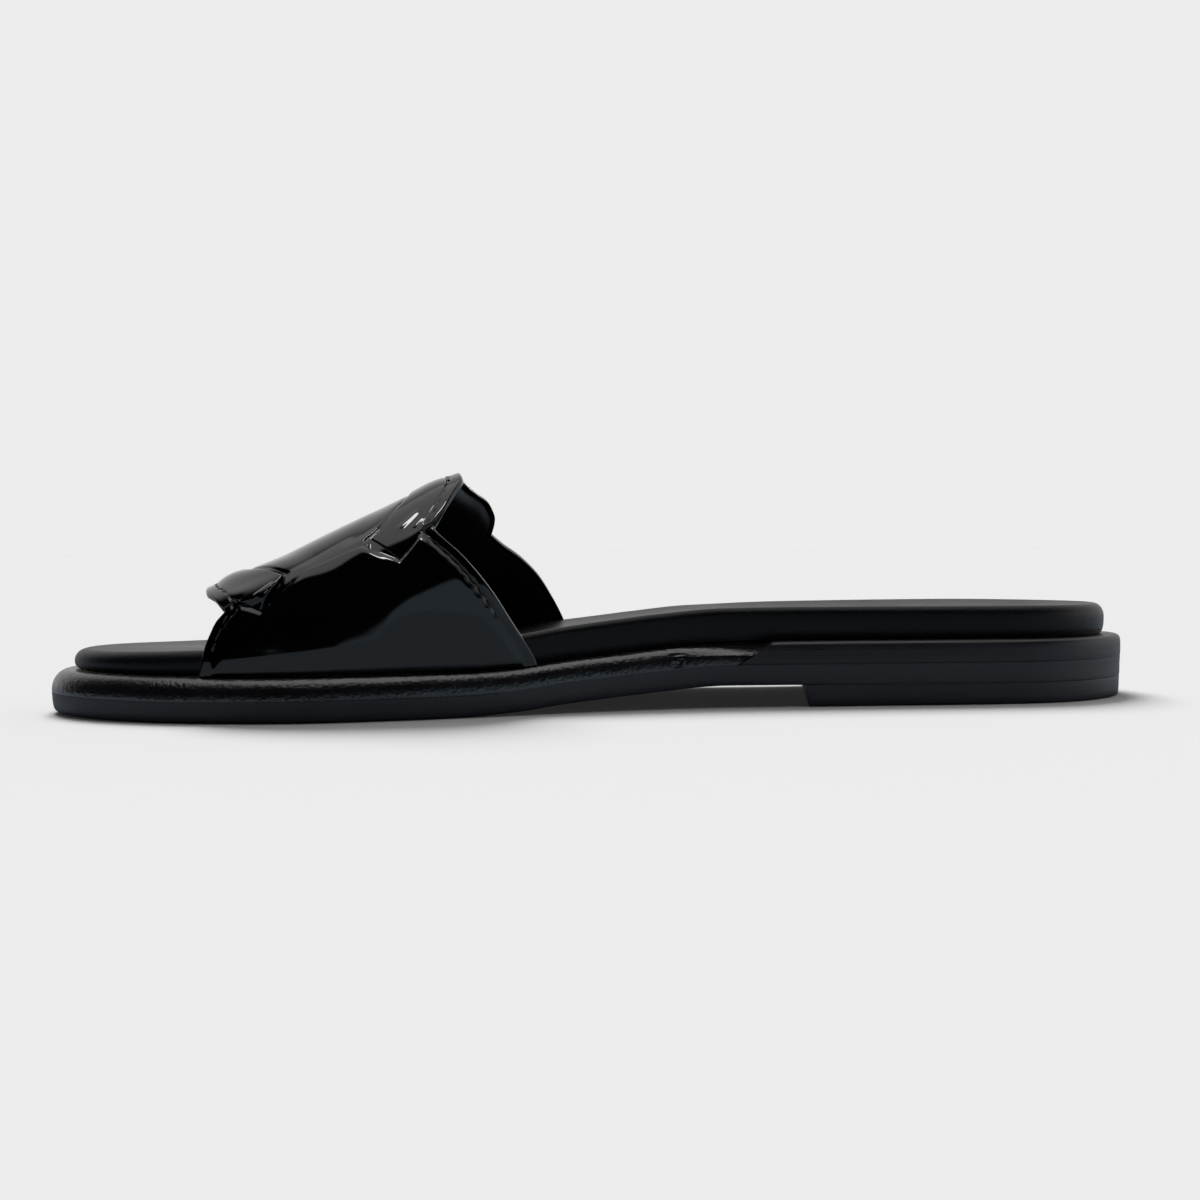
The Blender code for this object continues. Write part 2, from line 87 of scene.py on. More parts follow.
# a grid primitive pulled onto a table of points, then closed, with its faces turned out
def gridPiece(name, points, sharp=40):
    rows, columns = points.shape[:2]
    clearPick()
    bpy.ops.mesh.primitive_grid_add(x_subdivisions=columns - 1, y_subdivisions=rows - 1, size=1)
    piece = bpy.context.object
    piece.name = piece.data.name = name
    spot = np.empty(len(piece.data.vertices) * 3)
    piece.data.vertices.foreach_get("co", spot)
    spot = spot.reshape(-1, 3)
    column = np.rint((spot[:, 0] + 0.5) * (columns - 1)).astype(int)
    row = np.rint((spot[:, 1] + 0.5) * (rows - 1)).astype(int)
    piece.data.vertices.foreach_set("co", points[row, column].ravel())
    bpy.ops.object.mode_set(mode="EDIT")
    bpy.ops.mesh.select_all(action="SELECT")
    bpy.ops.mesh.remove_doubles(threshold=2e-6)
    bpy.ops.mesh.select_all(action="SELECT")
    bpy.ops.mesh.fill_holes(sides=0)
    bpy.ops.mesh.select_all(action="SELECT")
    bpy.ops.mesh.normals_make_consistent(inside=False)
    bpy.ops.object.mode_set(mode="OBJECT")
    bpy.ops.object.shade_smooth_by_angle(angle=math.radians(sharp))
    return piece


def settle(piece, material, slot, *nodes):
    piece.data.materials.clear()
    piece.data.materials.append(material)
    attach(piece, "root")
    if nodes:
        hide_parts(*nodes)
    return piece


# shader groups shared by the finishes
def newGroup(name, inputs, outputs):
    group = bpy.data.node_groups.new(name, "ShaderNodeTree")
    for label, kind, value in inputs:
        socket = group.interface.new_socket(name=label, in_out="INPUT", socket_type=kind)
        if value is not None:
            socket.default_value = value
    for label in outputs:
        group.interface.new_socket(name=label, in_out="OUTPUT", socket_type="NodeSocketFloat")
    return group, group.nodes.new("NodeGroupInput"), group.nodes.new("NodeGroupOutput")


def mathNode(tree, operation, first, second):
    node = tree.nodes.new("ShaderNodeMath")
    node.operation = operation
    for socket, value in zip(node.inputs, (first, second)):
        if isinstance(value, (int, float)):
            socket.default_value = value
        else:
            tree.links.new(value, socket)
    return node.outputs[0]


def noiseNode(tree, vector, scale, detail, roughness=0.5):
    node = tree.nodes.new("ShaderNodeTexNoise")
    node.inputs["Detail"].default_value = detail
    node.inputs["Roughness"].default_value = roughness
    tree.links.new(vector, node.inputs["Vector"])
    if isinstance(scale, (int, float)):
        node.inputs["Scale"].default_value = scale
    else:
        tree.links.new(scale, node.inputs["Scale"])
    return node.outputs["Fac"]


# leather pores: rounded cells broken up by a finer noise
def pebbleGroup():
    group, into, out = newGroup(
        "pebbleGrain",
        [("Vector", "NodeSocketVector", None), ("Scale", "NodeSocketFloat", 1000.0)],
        ["Height"],
    )
    cells = group.nodes.new("ShaderNodeTexVoronoi")
    cells.feature = "SMOOTH_F1"
    cells.inputs["Smoothness"].default_value = 0.6
    group.links.new(into.outputs["Vector"], cells.inputs["Vector"])
    group.links.new(into.outputs["Scale"], cells.inputs["Scale"])
    finer = mathNode(group, "MULTIPLY", into.outputs["Scale"], 2.3)
    fine = noiseNode(group, into.outputs["Vector"], finer, 3.0)
    dome = mathNode(group, "SUBTRACT", 1.0, cells.outputs["Distance"])
    mixed = mathNode(group, "ADD", dome, mathNode(group, "MULTIPLY", fine, 0.7))
    group.links.new(mixed, out.inputs["Height"])
    return group


# patchy handling marks: a slow noise and a streaky one, between two values
def handledGroup():
    group, into, out = newGroup(
        "handledFinish",
        [
            ("Vector", "NodeSocketVector", None),
            ("Scale", "NodeSocketFloat", 60.0),
            ("Low", "NodeSocketFloat", 0.1),
            ("High", "NodeSocketFloat", 0.2),
        ],
        ["Roughness", "Mask"],
    )
    slow = noiseNode(group, into.outputs["Vector"], into.outputs["Scale"], 2.0)
    finer = mathNode(group, "MULTIPLY", into.outputs["Scale"], 9.0)
    fine = noiseNode(group, into.outputs["Vector"], finer, 4.0, 0.6)
    mostly = mathNode(group, "MULTIPLY", slow, 0.65)
    mask = mathNode(group, "ADD", mostly, mathNode(group, "MULTIPLY", fine, 0.35))
    spread = group.nodes.new("ShaderNodeMapRange")
    spread.inputs["From Min"].default_value = 0.3
    spread.inputs["From Max"].default_value = 0.7
    group.links.new(mask, spread.inputs["Value"])
    group.links.new(into.outputs["Low"], spread.inputs["To Min"])
    group.links.new(into.outputs["High"], spread.inputs["To Max"])
    group.links.new(spread.outputs["Result"], out.inputs["Roughness"])
    group.links.new(mask, out.inputs["Mask"])
    return group


# level lines along a trimmed edge, as left by the cutter
def trimGroup():
    group, into, out = newGroup(
        "trimLines",
        [("Vector", "NodeSocketVector", None), ("Scale", "NodeSocketFloat", 2500.0)],
        ["Height"],
    )
    stretch = group.nodes.new("ShaderNodeVectorMath")
    stretch.operation = "MULTIPLY"
    stretch.inputs[1].default_value = (0.012, 0.012, 1.0)
    group.links.new(into.outputs["Vector"], stretch.inputs[0])
    lines = noiseNode(group, stretch.outputs["Vector"], into.outputs["Scale"], 3.0, 0.65)
    group.links.new(lines, out.inputs["Height"])
    return group


pebbleGrain, handledFinish, trimLines = pebbleGroup(), handledGroup(), trimGroup()


# one finish: base colour pair, roughness range, and a relief group with its depth
def newFinish(name, look):
    material = bpy.data.materials.new(name)
    material.use_nodes = True
    tree = material.node_tree
    shader = tree.nodes["Principled BSDF"]
    coords = tree.nodes.new("ShaderNodeTexCoord").outputs["Object"]

    handled = tree.nodes.new("ShaderNodeGroup")
    handled.node_tree = handledFinish
    handled.inputs["Scale"].default_value = look["patch"]
    handled.inputs["Low"].default_value = look["rough"][0]
    handled.inputs["High"].default_value = look["rough"][1]
    tree.links.new(coords, handled.inputs["Vector"])
    tree.links.new(handled.outputs["Roughness"], shader.inputs["Roughness"])

    tint = tree.nodes.new("ShaderNodeMix")
    tint.data_type = "RGBA"
    tint.inputs["A"].default_value = (*look["dark"], 1)
    tint.inputs["B"].default_value = (*look["light"], 1)
    tree.links.new(handled.outputs["Mask"], tint.inputs["Factor"])
    tree.links.new(tint.outputs["Result"], shader.inputs["Base Color"])

    height = None
    for group, scale, share in look["relief"]:
        relief = tree.nodes.new("ShaderNodeGroup")
        relief.node_tree = group
        relief.inputs["Scale"].default_value = scale
        tree.links.new(coords, relief.inputs["Vector"])
        level = mathNode(tree, "MULTIPLY", relief.outputs["Height"], share)
        height = level if height is None else mathNode(tree, "ADD", height, level)
    if look.get("ripple"):
        level = noiseNode(tree, coords, look["ripple"], 1.5)
        height = level if height is None else mathNode(tree, "ADD", height, level)
    bump = tree.nodes.new("ShaderNodeBump")
    bump.inputs["Strength"].default_value = look["strength"]
    bump.inputs["Distance"].default_value = look["depth"]
    tree.links.new(height, bump.inputs["Height"])
    tree.links.new(bump.outputs["Normal"], shader.inputs["Normal"])

    shader.inputs["Coat Weight"].default_value = look.get("coat", 0.0)
    shader.inputs["Coat Roughness"].default_value = look.get("coatRough", 0.03)
    shader.inputs["Specular IOR Level"].default_value = look["shine"]
    return material


finishes = {
    "patent": {
        "dark": (0.0010, 0.0010, 0.0012), "light": (0.0022, 0.0022, 0.0026),
        "rough": (0.10, 0.16), "patch": 55.0,
        "relief": [], "ripple": 190.0,
        "strength": 0.3, "depth": 0.0001, "coat": 1.0, "coatRough": 0.03, "shine": 0.05,
    },
    "lining": {
        "dark": (0.0025, 0.0025, 0.0029), "light": (0.0050, 0.0050, 0.0056),
        "rough": (0.34, 0.46), "patch": 70.0,
        "relief": [(pebbleGrain, 2300.0, 1.0)],
        "strength": 0.35, "depth": 0.00012, "shine": 0.3,
    },
    "cushion": {
        "dark": (0.0030, 0.0032, 0.0040), "light": (0.0070, 0.0074, 0.0090),
        "rough": (0.30, 0.40), "patch": 48.0,
        "relief": [(pebbleGrain, 2100.0, 1.0)],
        "strength": 0.4, "depth": 0.00012, "shine": 0.22,
    },
    "welt": {
        "dark": (0.0065, 0.0062, 0.0073), "light": (0.0125, 0.0120, 0.0140),
        "rough": (0.19, 0.27), "patch": 90.0,
        "relief": [(pebbleGrain, 1250.0, 1.0)],
        "strength": 0.45, "depth": 0.00016, "shine": 1.0,
    },
    "board": {
        "dark": (0.0130, 0.0105, 0.0135), "light": (0.0240, 0.0205, 0.0250),
        "rough": (0.32, 0.44), "patch": 75.0,
        "relief": [(trimLines, 2200.0, 1.0), (pebbleGrain, 3400.0, 0.12)],
        "strength": 0.35, "depth": 0.00016, "shine": 0.5,
    },
    "rubber": {
        "dark": (0.0370, 0.0335, 0.0395), "light": (0.0630, 0.0575, 0.0670),
        "rough": (0.44, 0.60), "patch": 65.0,
        "relief": [(trimLines, 1500.0, 1.0), (pebbleGrain, 3000.0, 0.2)],
        "strength": 0.35, "depth": 0.00018, "shine": 0.5,
    },
    "thread": {
        "dark": (0.0140, 0.0140, 0.0150), "light": (0.0320, 0.0320, 0.0340),
        "rough": (0.32, 0.45), "patch": 900.0,
        "relief": [(pebbleGrain, 5200.0, 1.0)],
        "strength": 0.5, "depth": 0.00008, "shine": 0.4,
    },
}
finish = {name: newFinish(name + "Finish", look) for name, look in finishes.items()}
print("finishes:", ", ".join(finish))


# sole form, in millimetres where a table is given
sole = {
    "length": 255 * mm,
    "glueGap": 0.3 * mm,
    "outsoleThick": 4.6 * mm,
    "heelRound": (0.135, 2.0),  # share where the rounding starts, fullness
    "toeRound": (0.735, 2.1),
    "stations": 131,
    # share from heel to toe, inner half width, outer half width, middle
    "outline": [
        (0.00, 31.0, 31.0, 0.0), (0.16, 31.8, 31.6, 0.0), (0.29, 30.0, 32.4, 0.0), (0.40, 28.8, 34.6, 0.0),
        (0.50, 31.8, 38.6, 0.0), (0.60, 38.4, 43.2, 0.0), (0.70, 44.8, 45.8, 0.0), (0.78, 47.2, 45.2, -1.0),
        (0.88, 47.2, 42.5, -3.5), (1.00, 46.0, 39.0, -6.0),
    ],
    # share, underside, thickness over the outsole
    "profile": [
        (0.00, 4.8, 5.0), (0.33, 5.0, 5.0), (0.40, 5.0, 4.8), (0.46, 4.0, 4.6), (0.50, 3.1, 4.5),
        (0.55, 1.9, 4.5), (0.59, 0.7, 4.6), (0.64, 0.0, 4.8), (0.88, 0.0, 4.9), (1.00, 0.4, 4.9),
    ],
}


def endRounding(share):
    heelStart, heelFull = sole["heelRound"]
    toeStart, toeFull = sole["toeRound"]
    heel = np.clip((heelStart - share) / heelStart, 0, 1)
    toe = np.clip((share - toeStart) / (1 - toeStart), 0, 1)
    return (1 - heel**heelFull) ** (1 / heelFull) * (1 - toe**toeFull) ** (1 / toeFull)


def outlineAt(share, side):
    middle = readCurve(sole["outline"], 3, share) * mm
    half = readCurve(sole["outline"], 1 if side == medial else 2, share) * mm - side * middle
    return np.stack([sole["length"] * (0.5 - share), middle + side * half * endRounding(share)], axis=-1)


everyShare = np.linspace(0, 1, 400)
sideShift = (outlineAt(everyShare, medial)[:, 1].min() + outlineAt(everyShare, lateral)[:, 1].max()) / 2


# the sole's edge on one side, moved in square to itself
def soleEdge(share, side, inset):
    share = np.asarray(share, float)
    turn = np.arccos(np.clip(1 - 2 * share, -1, 1))
    ahead = (1 - np.cos(np.minimum(turn + 1e-4, math.pi))) / 2
    behind = (1 - np.cos(np.maximum(turn - 1e-4, 0))) / 2
    run = outlineAt(ahead, side) - outlineAt(behind, side)
    inward = side * np.stack([-run[:, 1], run[:, 0]], axis=-1)
    inward[share < 1e-9] = (-1, 0)
    inward[share > 1 - 1e-9] = (1, 0)
    inward /= np.linalg.norm(inward, axis=-1, keepdims=True)
    inset = np.broadcast_to(np.asarray(inset, float), share.shape)
    return outlineAt(share, side) + inward * inset[:, None] - (0, sideShift)


def shareOf(x):
    return 0.5 - x / sole["length"]


def underside(x):
    return readCurve(sole["profile"], 1, shareOf(x)) * mm


def outsoleTop(x):
    return underside(x) + sole["outsoleThick"]


def midsoleTop(x):
    return outsoleTop(x) + sole["glueGap"] + readCurve(sole["profile"], 2, shareOf(x)) * mm


def stations(count, first=0.0, last=1.0):
    return first + (last - first) * (1 - np.cos(np.linspace(0, math.pi, count))) / 2


# rows of a sole layer: up the inner side, across the top in lanes, down the outer side, back underneath
def layerRows(ring, steps, lanes, sink=None):
    up = [ring(medial, step) for step in steps]
    down = [ring(lateral, step) for step in reversed(steps)]
    left, right = up[-1], down[0]
    across = []
    for lane in range(1, lanes):
        t = lane / lanes
        row = left * (1 - t) + right * t
        if sink is not None:
            row[:, 2] += sink(row[:, 0], t, left, right)
        across.append(row)
    return np.stack([*up, *across, *down, up[0]], axis=1)


outsole = {
    "squareTo": 0.30,  # the edge turns from square to round between these shares
    "roundFrom": 0.42,
    # rise, inset at the forefoot, inset at the heel
    "edge": [
        (0.00, 1.8, 0.42), (0.04, 1.2, 0.32), (0.12, 0.72, 0.28), (0.25, 0.38, 0.26), (0.40, 0.22, 0.25),
        (0.60, 0.12, 0.24), (0.80, 0.06, 0.18), (0.96, 0.02, 0.14), (1.00, 0.05, 0.18),
    ],
}


def makeOutsole():
    share = stations(sole["stations"])
    seam = sole["glueGap"] * 0.45  # the cemented layers show no gap

    def ring(side, step):
        fore = np.clip((share - outsole["squareTo"]) / (outsole["roundFrom"] - outsole["squareTo"]), 0, 1)
        edge = soleEdge(share, side, (step[2] * (1 - fore) + step[1] * fore) * mm)
        return np.column_stack([edge, underside(edge[:, 0]) + step[0] * (sole["outsoleThick"] + seam)])

    piece = gridPiece("outsoleSlab", layerRows(ring, outsole["edge"], 2), 50)
    return settle(piece, finish["rubber"], "sole_rubber", "outsole")


heelLift = {
    "breast": {medial: 0.327, lateral: 0.280},  # front of the lift on each side, as a share
    "flare": 0.003,
    # rise, inset
    "edge": [(0.00, 1.2), (0.05, 0.74), (0.12, 0.54), (0.40, 0.44), (0.70, 0.40), (0.96, 0.36), (1.00, 0.42)],
    "stations": 61,
}


def makeHeelLift():
    spread = stations(2 * heelLift["stations"] - 1, 0, 2)[: heelLift["stations"]]

    def ring(side, step):
        share = spread * (heelLift["breast"][side] + heelLift["flare"] * step[0] ** 4)
        edge = soleEdge(share, side, step[1] * mm)
        return np.column_stack([edge, step[0] * (underside(edge[:, 0]) - sole["glueGap"] * 0.1)])

    piece = gridPiece("heelLiftBlock", layerRows(ring, heelLift["edge"], 6), 35)
    return settle(piece, finish["rubber"], "sole_rubber", "heel_lift")


welt = {
    "start": 0.376,  # share where the strip ends, half way up
    "slant": 0.0325,  # how much further back its top runs than its foot
    "skive": 0.10,  # length over which the bead flattens towards its end
    "rows": 181,
    "width": 6.3,
    # width and share of the height that the top rolls over, at waist and toe
    "bead": ((2.7, 0.93), (3.9, 0.95)),
    "beadFrom": (0.60, 0.93),
    "nickX": 13.6,  # butt joint of the strip, in millimetres from the origin
    "nickDepth": 0.5,
    "nickWide": 0.35,
    "nickDip": 0.06,  # share of the height lost in the joint, for each millimetre of its depth
    "face": (1.05, 0.62),  # height of the skived face at its back, and how far it falls to the front
}


# closed profile of the welt: foot, upright side, rolled top, flat back
def weltProfile(shape):
    bead, tall = shape
    turn = np.radians(np.linspace(0, 90, 19))
    roll = [(bead * (1 - math.cos(t)), 1 - tall * (1 - math.sin(t))) for t in turn]
    foot = [(0.05, 0.0), (0.01, 0.03)]
    back = [(5.6, 1.0), (welt["width"], 1.0), (welt["width"], 0.0), foot[0]]
    return foot + roll + back


def makeWelt():
    rows = []
    run = np.sin(np.linspace(0, math.pi / 2, welt["rows"]))
    first, last = welt["beadFrom"]
    for tight, full in zip(*map(weltProfile, welt["bead"])):
        start = welt["start"] - welt["slant"] * (tight[1] - 0.5)
        share = start + (1 - start) * run
        flat = 1 - ease((share - start) / welt["skive"])
        toe = ease((share - first) / (last - first))
        inset, rise = (a * (1 - toe) + b * toe for a, b in zip(tight, full))
        # towards its end the bead is skived to a slanting face
        high, fall = welt["face"]
        slope = np.clip(high - fall * (1 - inset / welt["width"]), 0, 1)
        level = rise * (1 - flat) + np.minimum(rise, slope) * flat
        sides = []
        for side in (medial, lateral):
            edge = soleEdge(share, side, inset * mm)
            height = level
            if side == medial and tight[1] > 0.1:
                nick = bell(edge[:, 0] / mm - welt["nickX"], welt["nickWide"]) * welt["nickDepth"]
                edge = soleEdge(share, side, (inset + nick * (tight[0] < welt["bead"][0][0])) * mm)
                height = level - nick * welt["nickDip"]
            floor = outsoleTop(edge[:, 0]) + sole["glueGap"] * 0.5
            sides.append(np.column_stack([edge, floor + height * (midsoleTop(edge[:, 0]) - floor)]))
        rows.append(np.concatenate([sides[0], sides[1][-2::-1]]))
    piece = gridPiece("rolledWelt", np.stack(rows, axis=1), 50)
    return settle(piece, finish["welt"], "welt_leather", "welt")


midsole = {
    "tuck": 6.6,  # inset inside the welt
    "leanOver": 0.05,
    # rise, inset round the heel
    "edge": [
        (0.00, 0.22), (0.03, 0.13), (0.10, 0.07), (0.30, 0.04), (0.60, 0.06), (0.78, 0.12), (0.86, 0.24),
        (0.92, 0.44), (0.96, 0.70), (0.99, 1.05), (1.00, 1.50),
    ],
}


def makeMidsole():
    gap = sole["glueGap"] / sole["length"]
    stepEnd = welt["start"] - gap
    share = np.sort(np.append(stations(sole["stations"]), [stepEnd - gap, stepEnd]))

    def ring(side, step):
        near = bell(share - welt["start"], midsole["leanOver"])
        here = share - welt["slant"] * (step[0] - 0.5) * near  # the step leans with the welt's end
        inset = np.where(share >= stepEnd - 1e-9, midsole["tuck"], step[1])
        edge = soleEdge(here, side, inset * mm)
        floor = outsoleTop(edge[:, 0]) + sole["glueGap"] * 0.5
        return np.column_stack([edge, floor + step[0] * (midsoleTop(edge[:, 0]) - floor)])

    piece = gridPiece("midsoleEdge", layerRows(ring, midsole["edge"], 2), 50)
    return settle(piece, finish["board"], "midsole_board", "midsole")


footbed = {
    "setback": (3.9, 5.1),  # at heel and toe
    "lanes": 30,
    "fullDish": 40 * mm,
    # share, width of the rounded rim, rise where it starts to round
    "rim": [
        (0.0, 2.6, 0.55), (0.2, 1.7, 0.72), (0.5, 1.5, 0.76),
        (0.8, 2.0, 0.62), (0.93, 2.9, 0.42), (1.0, 3.0, 0.38),
    ],
    "fill": 0.7,
    # share, thickness at the inner edge, at the outer edge, in the middle
    "thickness": [
        (0.00, 7.2, 7.2, 6.6), (0.03, 7.2, 7.2, 6.4), (0.15, 7.3, 7.4, 5.4), (0.30, 7.4, 7.2, 5.4),
        (0.40, 7.5, 6.6, 5.6), (0.47, 7.6, 6.2, 5.6), (0.55, 7.2, 5.6, 5.2), (0.64, 6.4, 4.8, 4.8),
        (0.80, 5.6, 4.2, 4.4), (0.90, 4.8, 4.2, 4.2), (0.96, 4.3, 4.3, 4.2), (1.00, 4.3, 4.3, 4.2),
    ],
}


def footbedSetback(share):
    heel, toe = footbed["setback"]
    return (heel * (1 - share) + toe * share) * mm


def footbedTop(x, column):
    return midsoleTop(x) + sole["glueGap"] + readCurve(footbed["thickness"], column, shareOf(x)) * mm


def makeFootbed():
    share = stations(sole["stations"])
    width, start = readCurve(footbed["rim"], 1, share), readCurve(footbed["rim"], 2, share)
    # below the rim: part of its height and inset, then degrees round the rim
    steps = [(0.0, 0.7, 0), (0.2, 0.3, 0), (0.5, 0.05, 0), (0.8, 0.0, 0)]
    steps += [(1, 0, turn) for turn in range(0, 91, 9)]

    def ring(side, step):
        part, inset, turn = step[0], step[1], math.radians(step[2])
        rise = start * part + (1 - start) * math.sin(turn)
        edge = soleEdge(share, side, footbedSetback(share) + (inset + width * (1 - math.cos(turn))) * mm)
        floor = midsoleTop(edge[:, 0]) + sole["glueGap"]
        top = footbedTop(edge[:, 0], 1 if side == medial else 2)
        return np.column_stack([edge, floor + rise * (top - floor)])

    def sink(x, t, left, right):
        bowl = (1 - (2 * t - 1) ** 2) ** 0.9
        fade = np.minimum(1, np.linalg.norm(right - left, axis=1) / footbed["fullDish"])
        return fade * (footbedTop(x, 3) - (left[:, 2] + right[:, 2]) / 2) * bowl

    piece = gridPiece("footbedCushion", layerRows(ring, steps, footbed["lanes"], sink), 60)
    settle(piece, finish["cushion"], "cushion_leather", "footbed")
    return piece


makeOutsole()
makeHeelLift()
makeWelt()
makeMidsole()
makeFootbed()
print("sole stacked")


# band: reach runs towards the toe in millimetres, turn down from the crest in degrees, inner side negative
band = {
    "wall": 2.2,
    "clear": 0.5 * mm,
    "fullness": {medial: 3.1, lateral: 2.05},
    "spread": {medial: 2.5, lateral: 2.05},  # how the turn is spread down each side
    "skew": math.tan(math.radians(11.5)),
    "crestY": -11 * mm,
    "frontNotch": 54.5,
    "rearNotch": 44.0,
    # reach, height of the inside along the crest
    "crest": [
        (4, 55.0), (28, 52.6), (34, 50.8), (40, 48.0), (45, 46.0), (50, 43.8),
        (60, 39.0), (70, 34.0), (80, 29.2), (88, 25.6), (94, 22.5),
    ],
    # turn, reach on the inner side, on the outer side
    "frontLobe": [(0, 88.2, 88.2), (15, 87.1, 87.6), (30, 85.2, 86.0), (44, 81.8, 82.2), (54.5, 79.4, 79.1)],
    "frontPanel": [
        (54.5, 79.4, 79.1), (60, 81.1, 80.6), (68, 82.3, 81.9), (75, 83.3, 82.9), (90, 84.5, 83.8),
    ],
    "rearLobe": [
        (0, 33.4, 33.4), (13, 31.2, 33.7), (21, 30.6, 32.9),
        (30, 32.0, 31.2), (37, 33.6, 30.9), (44, 35.8, 32.8),
    ],
    "rearPanel": [
        (44, 35.8, 32.8), (47, 35.0, 31.8), (51, 33.4, 30.1), (58, 30.0, 25.9),
        (65, 26.6, 22.3), (72, 23.2, 19.6), (82, 18.6, 16.2), (90, 14.0, 14.2),
    ],
    "lobeColumns": 124,
    "panelColumns": 72,
    "breadth": 55,  # from front to rear edge, about
    "strip": 1.85,  # height of the stitched strip along the edges
    "stripUp": (0.1, 2.2),  # it comes up to the full wall from just outside the stitches, over this width
    "stripEnds": (84, 8),  # turn where the stitched groove ends, and over how much it fades
    "edge": 0.45,  # height of the turned edge itself
    "edgeRoll": 0.65,
    "flare": (1.5, 1.1),  # the lobes' rims stand off this much, on the inner and outer side
    "flareIn": 4.5,
    "flareEnds": (7, 6),  # ahead of the notches the flare dies out, in degrees
    "pucker": 0.06,
    "puckerIn": (0.4, 0.8),  # inside the stitch line, and half width
    "stitchIn": 2.4,  # stitch line from the edge
    "groove": 0.24,
    "grooveWide": 0.32,
    "lobe": 1.15,  # the two lobes are this much thicker
    "lobeIn": (2.45, 0.9),  # from the edge inwards, and the step down
    "lobeSide": (0.1, 0.6),  # clear of the side panels, and the step down
    "crestTo": (8, 10),  # no groove shows over the crest, to this turn and fading
    "thinner": (0.65, 0.45),  # shares of that missing on the outer side and at the notches
    "taper": {"frontNotch": 40, "rearNotch": 26},  # ahead of a notch the lobe starts to thin, in degrees
    "taperOver": 25,
    "outerFrom": (-12, 14),  # turn where the outer side's values begin, and over how much
    "hem": (0.9, 0.6),  # width of the hem turned in along the edges, and its step
    "hemLift": (0.05, 0.45),
}


def footbedSide(x, side):
    edge = soleEdge(everyShare, side, footbedSetback(everyShare))[::-1]
    return np.interp(x, edge[:, 0], edge[:, 1])


def bandFoot(reach, side):
    y = np.full_like(reach, side * 0.036)
    for _ in range(6):
        x = -(reach - band["skew"] * (y - band["crestY"]))
        y = footbedSide(x, side) + side * band["clear"]
    return y


# inner face of the band
def arch(reach, turn):
    turn = np.radians(turn)
    full = np.where(turn < 0, band["fullness"][medial], band["fullness"][lateral])
    spread = np.where(turn < 0, band["spread"][medial], band["spread"][lateral])
    up = np.maximum(np.cos(turn), 0) ** (2 / spread)
    out = np.maximum(1 - up**full, 0) ** (1 / full)
    flat = reach.ravel() * mm
    foot = np.where(turn.ravel() < 0, bandFoot(flat, medial), bandFoot(flat, lateral)).reshape(reach.shape)
    y = band["crestY"] + (foot - band["crestY"]) * out
    x = -(reach * mm - band["skew"] * (y - band["crestY"]))
    floor = midsoleTop(x) + sole["glueGap"]
    crest = readCurve(band["crest"], 1, reach) * mm
    return np.stack([x, y, floor + (crest - floor) * up], axis=-1)


# a point lifted off the arch by so many millimetres
def archOut(reach, turn, lift):
    reach, turn = np.broadcast_arrays(np.asarray(reach, float), np.asarray(turn, float))
    inner = np.clip(turn, -89.4, 89.4)
    along = arch(reach + 0.4, inner) - arch(reach - 0.4, inner)
    around = arch(reach, inner + 0.6) - arch(reach, inner - 0.6)
    normal = np.cross(around, along)
    normal /= np.linalg.norm(normal, axis=-1, keepdims=True)
    level = np.clip((np.abs(turn) - 70) / 20, 0, 1)[..., None]  # level at the foot
    normal[..., 2:] *= 1 - level
    normal /= np.linalg.norm(normal, axis=-1, keepdims=True)
    return arch(reach, turn) + normal * (np.asarray(lift, float) * mm)[..., None]


# reach of a border at each turn, from whichever table covers it
def borderAt(tables, turn):
    size = np.abs(turn)
    reach = np.zeros_like(size)
    for table in tables:
        inside = (size >= table[0][0] - 1e-9) & (size <= table[-1][0] + 1e-9)
        for column, side in ((1, turn <= 0), (2, turn > 0)):
            if len(table[0]) == 2:
                column = 1
            reach[inside & side] = readCurve(table, column, size[inside & side])
    return reach


# edge of the band at each column: evenly over the lobe, evenly down each panel
def bandEdge(lobe, panel, notch):
    half = np.concatenate([
        np.linspace(0, notch, band["lobeColumns"] + 1),
        np.linspace(notch, 90, band["panelColumns"] + 1)[1:],
    ])
    turn = np.concatenate([-half[:0:-1], half])
    return borderAt((lobe, panel), turn), turn


frontReach, frontTurn = bandEdge(band["frontLobe"], band["frontPanel"], band["frontNotch"])
rearReach, rearTurn = bandEdge(band["rearLobe"], band["rearPanel"], band["rearNotch"])


def bandAt(share):
    share = np.asarray(share, float)[:, None]
    return frontReach * (1 - share) + rearReach * share, frontTurn * (1 - share) + rearTurn * share


# shares of the way from front to rear, close together along the stitched edges
def bandShares():
    near = [0, 0.12, 0.3, 0.5, 0.75, 1.0, 1.3, 1.6, 1.85, 2.05, 2.2, 2.35, 2.5, 2.65]
    near += [2.85, 3.15, 3.55, 4.05, 4.6, 5.2]
    half = np.concatenate([near, np.arange(5.6, 27.4, 0.32)]) / band["breadth"]
    return np.concatenate([half, [0.5], 1 - half[::-1]])


# distance in millimetres from points to a line of reach and turn on the band's face
def distanceTo(points, reach, turn, lift):
    line = archOut(np.asarray(reach, float), np.asarray(turn, float), np.full(len(reach), lift))
    tree = KDTree(60 * (len(line) - 1) + 1)
    place = 0
    for a, b in zip(line, line[1:]):
        for t in np.arange(60) / 60:
            tree.insert(Vector(a * (1 - t) + b * t), place)
            place += 1
    tree.insert(Vector(line[-1]), place)
    tree.balance()
    flat = points.reshape(-1, 3)
    return np.array([tree.find(Vector(p))[2] for p in flat]).reshape(points.shape[:-1]) / mm


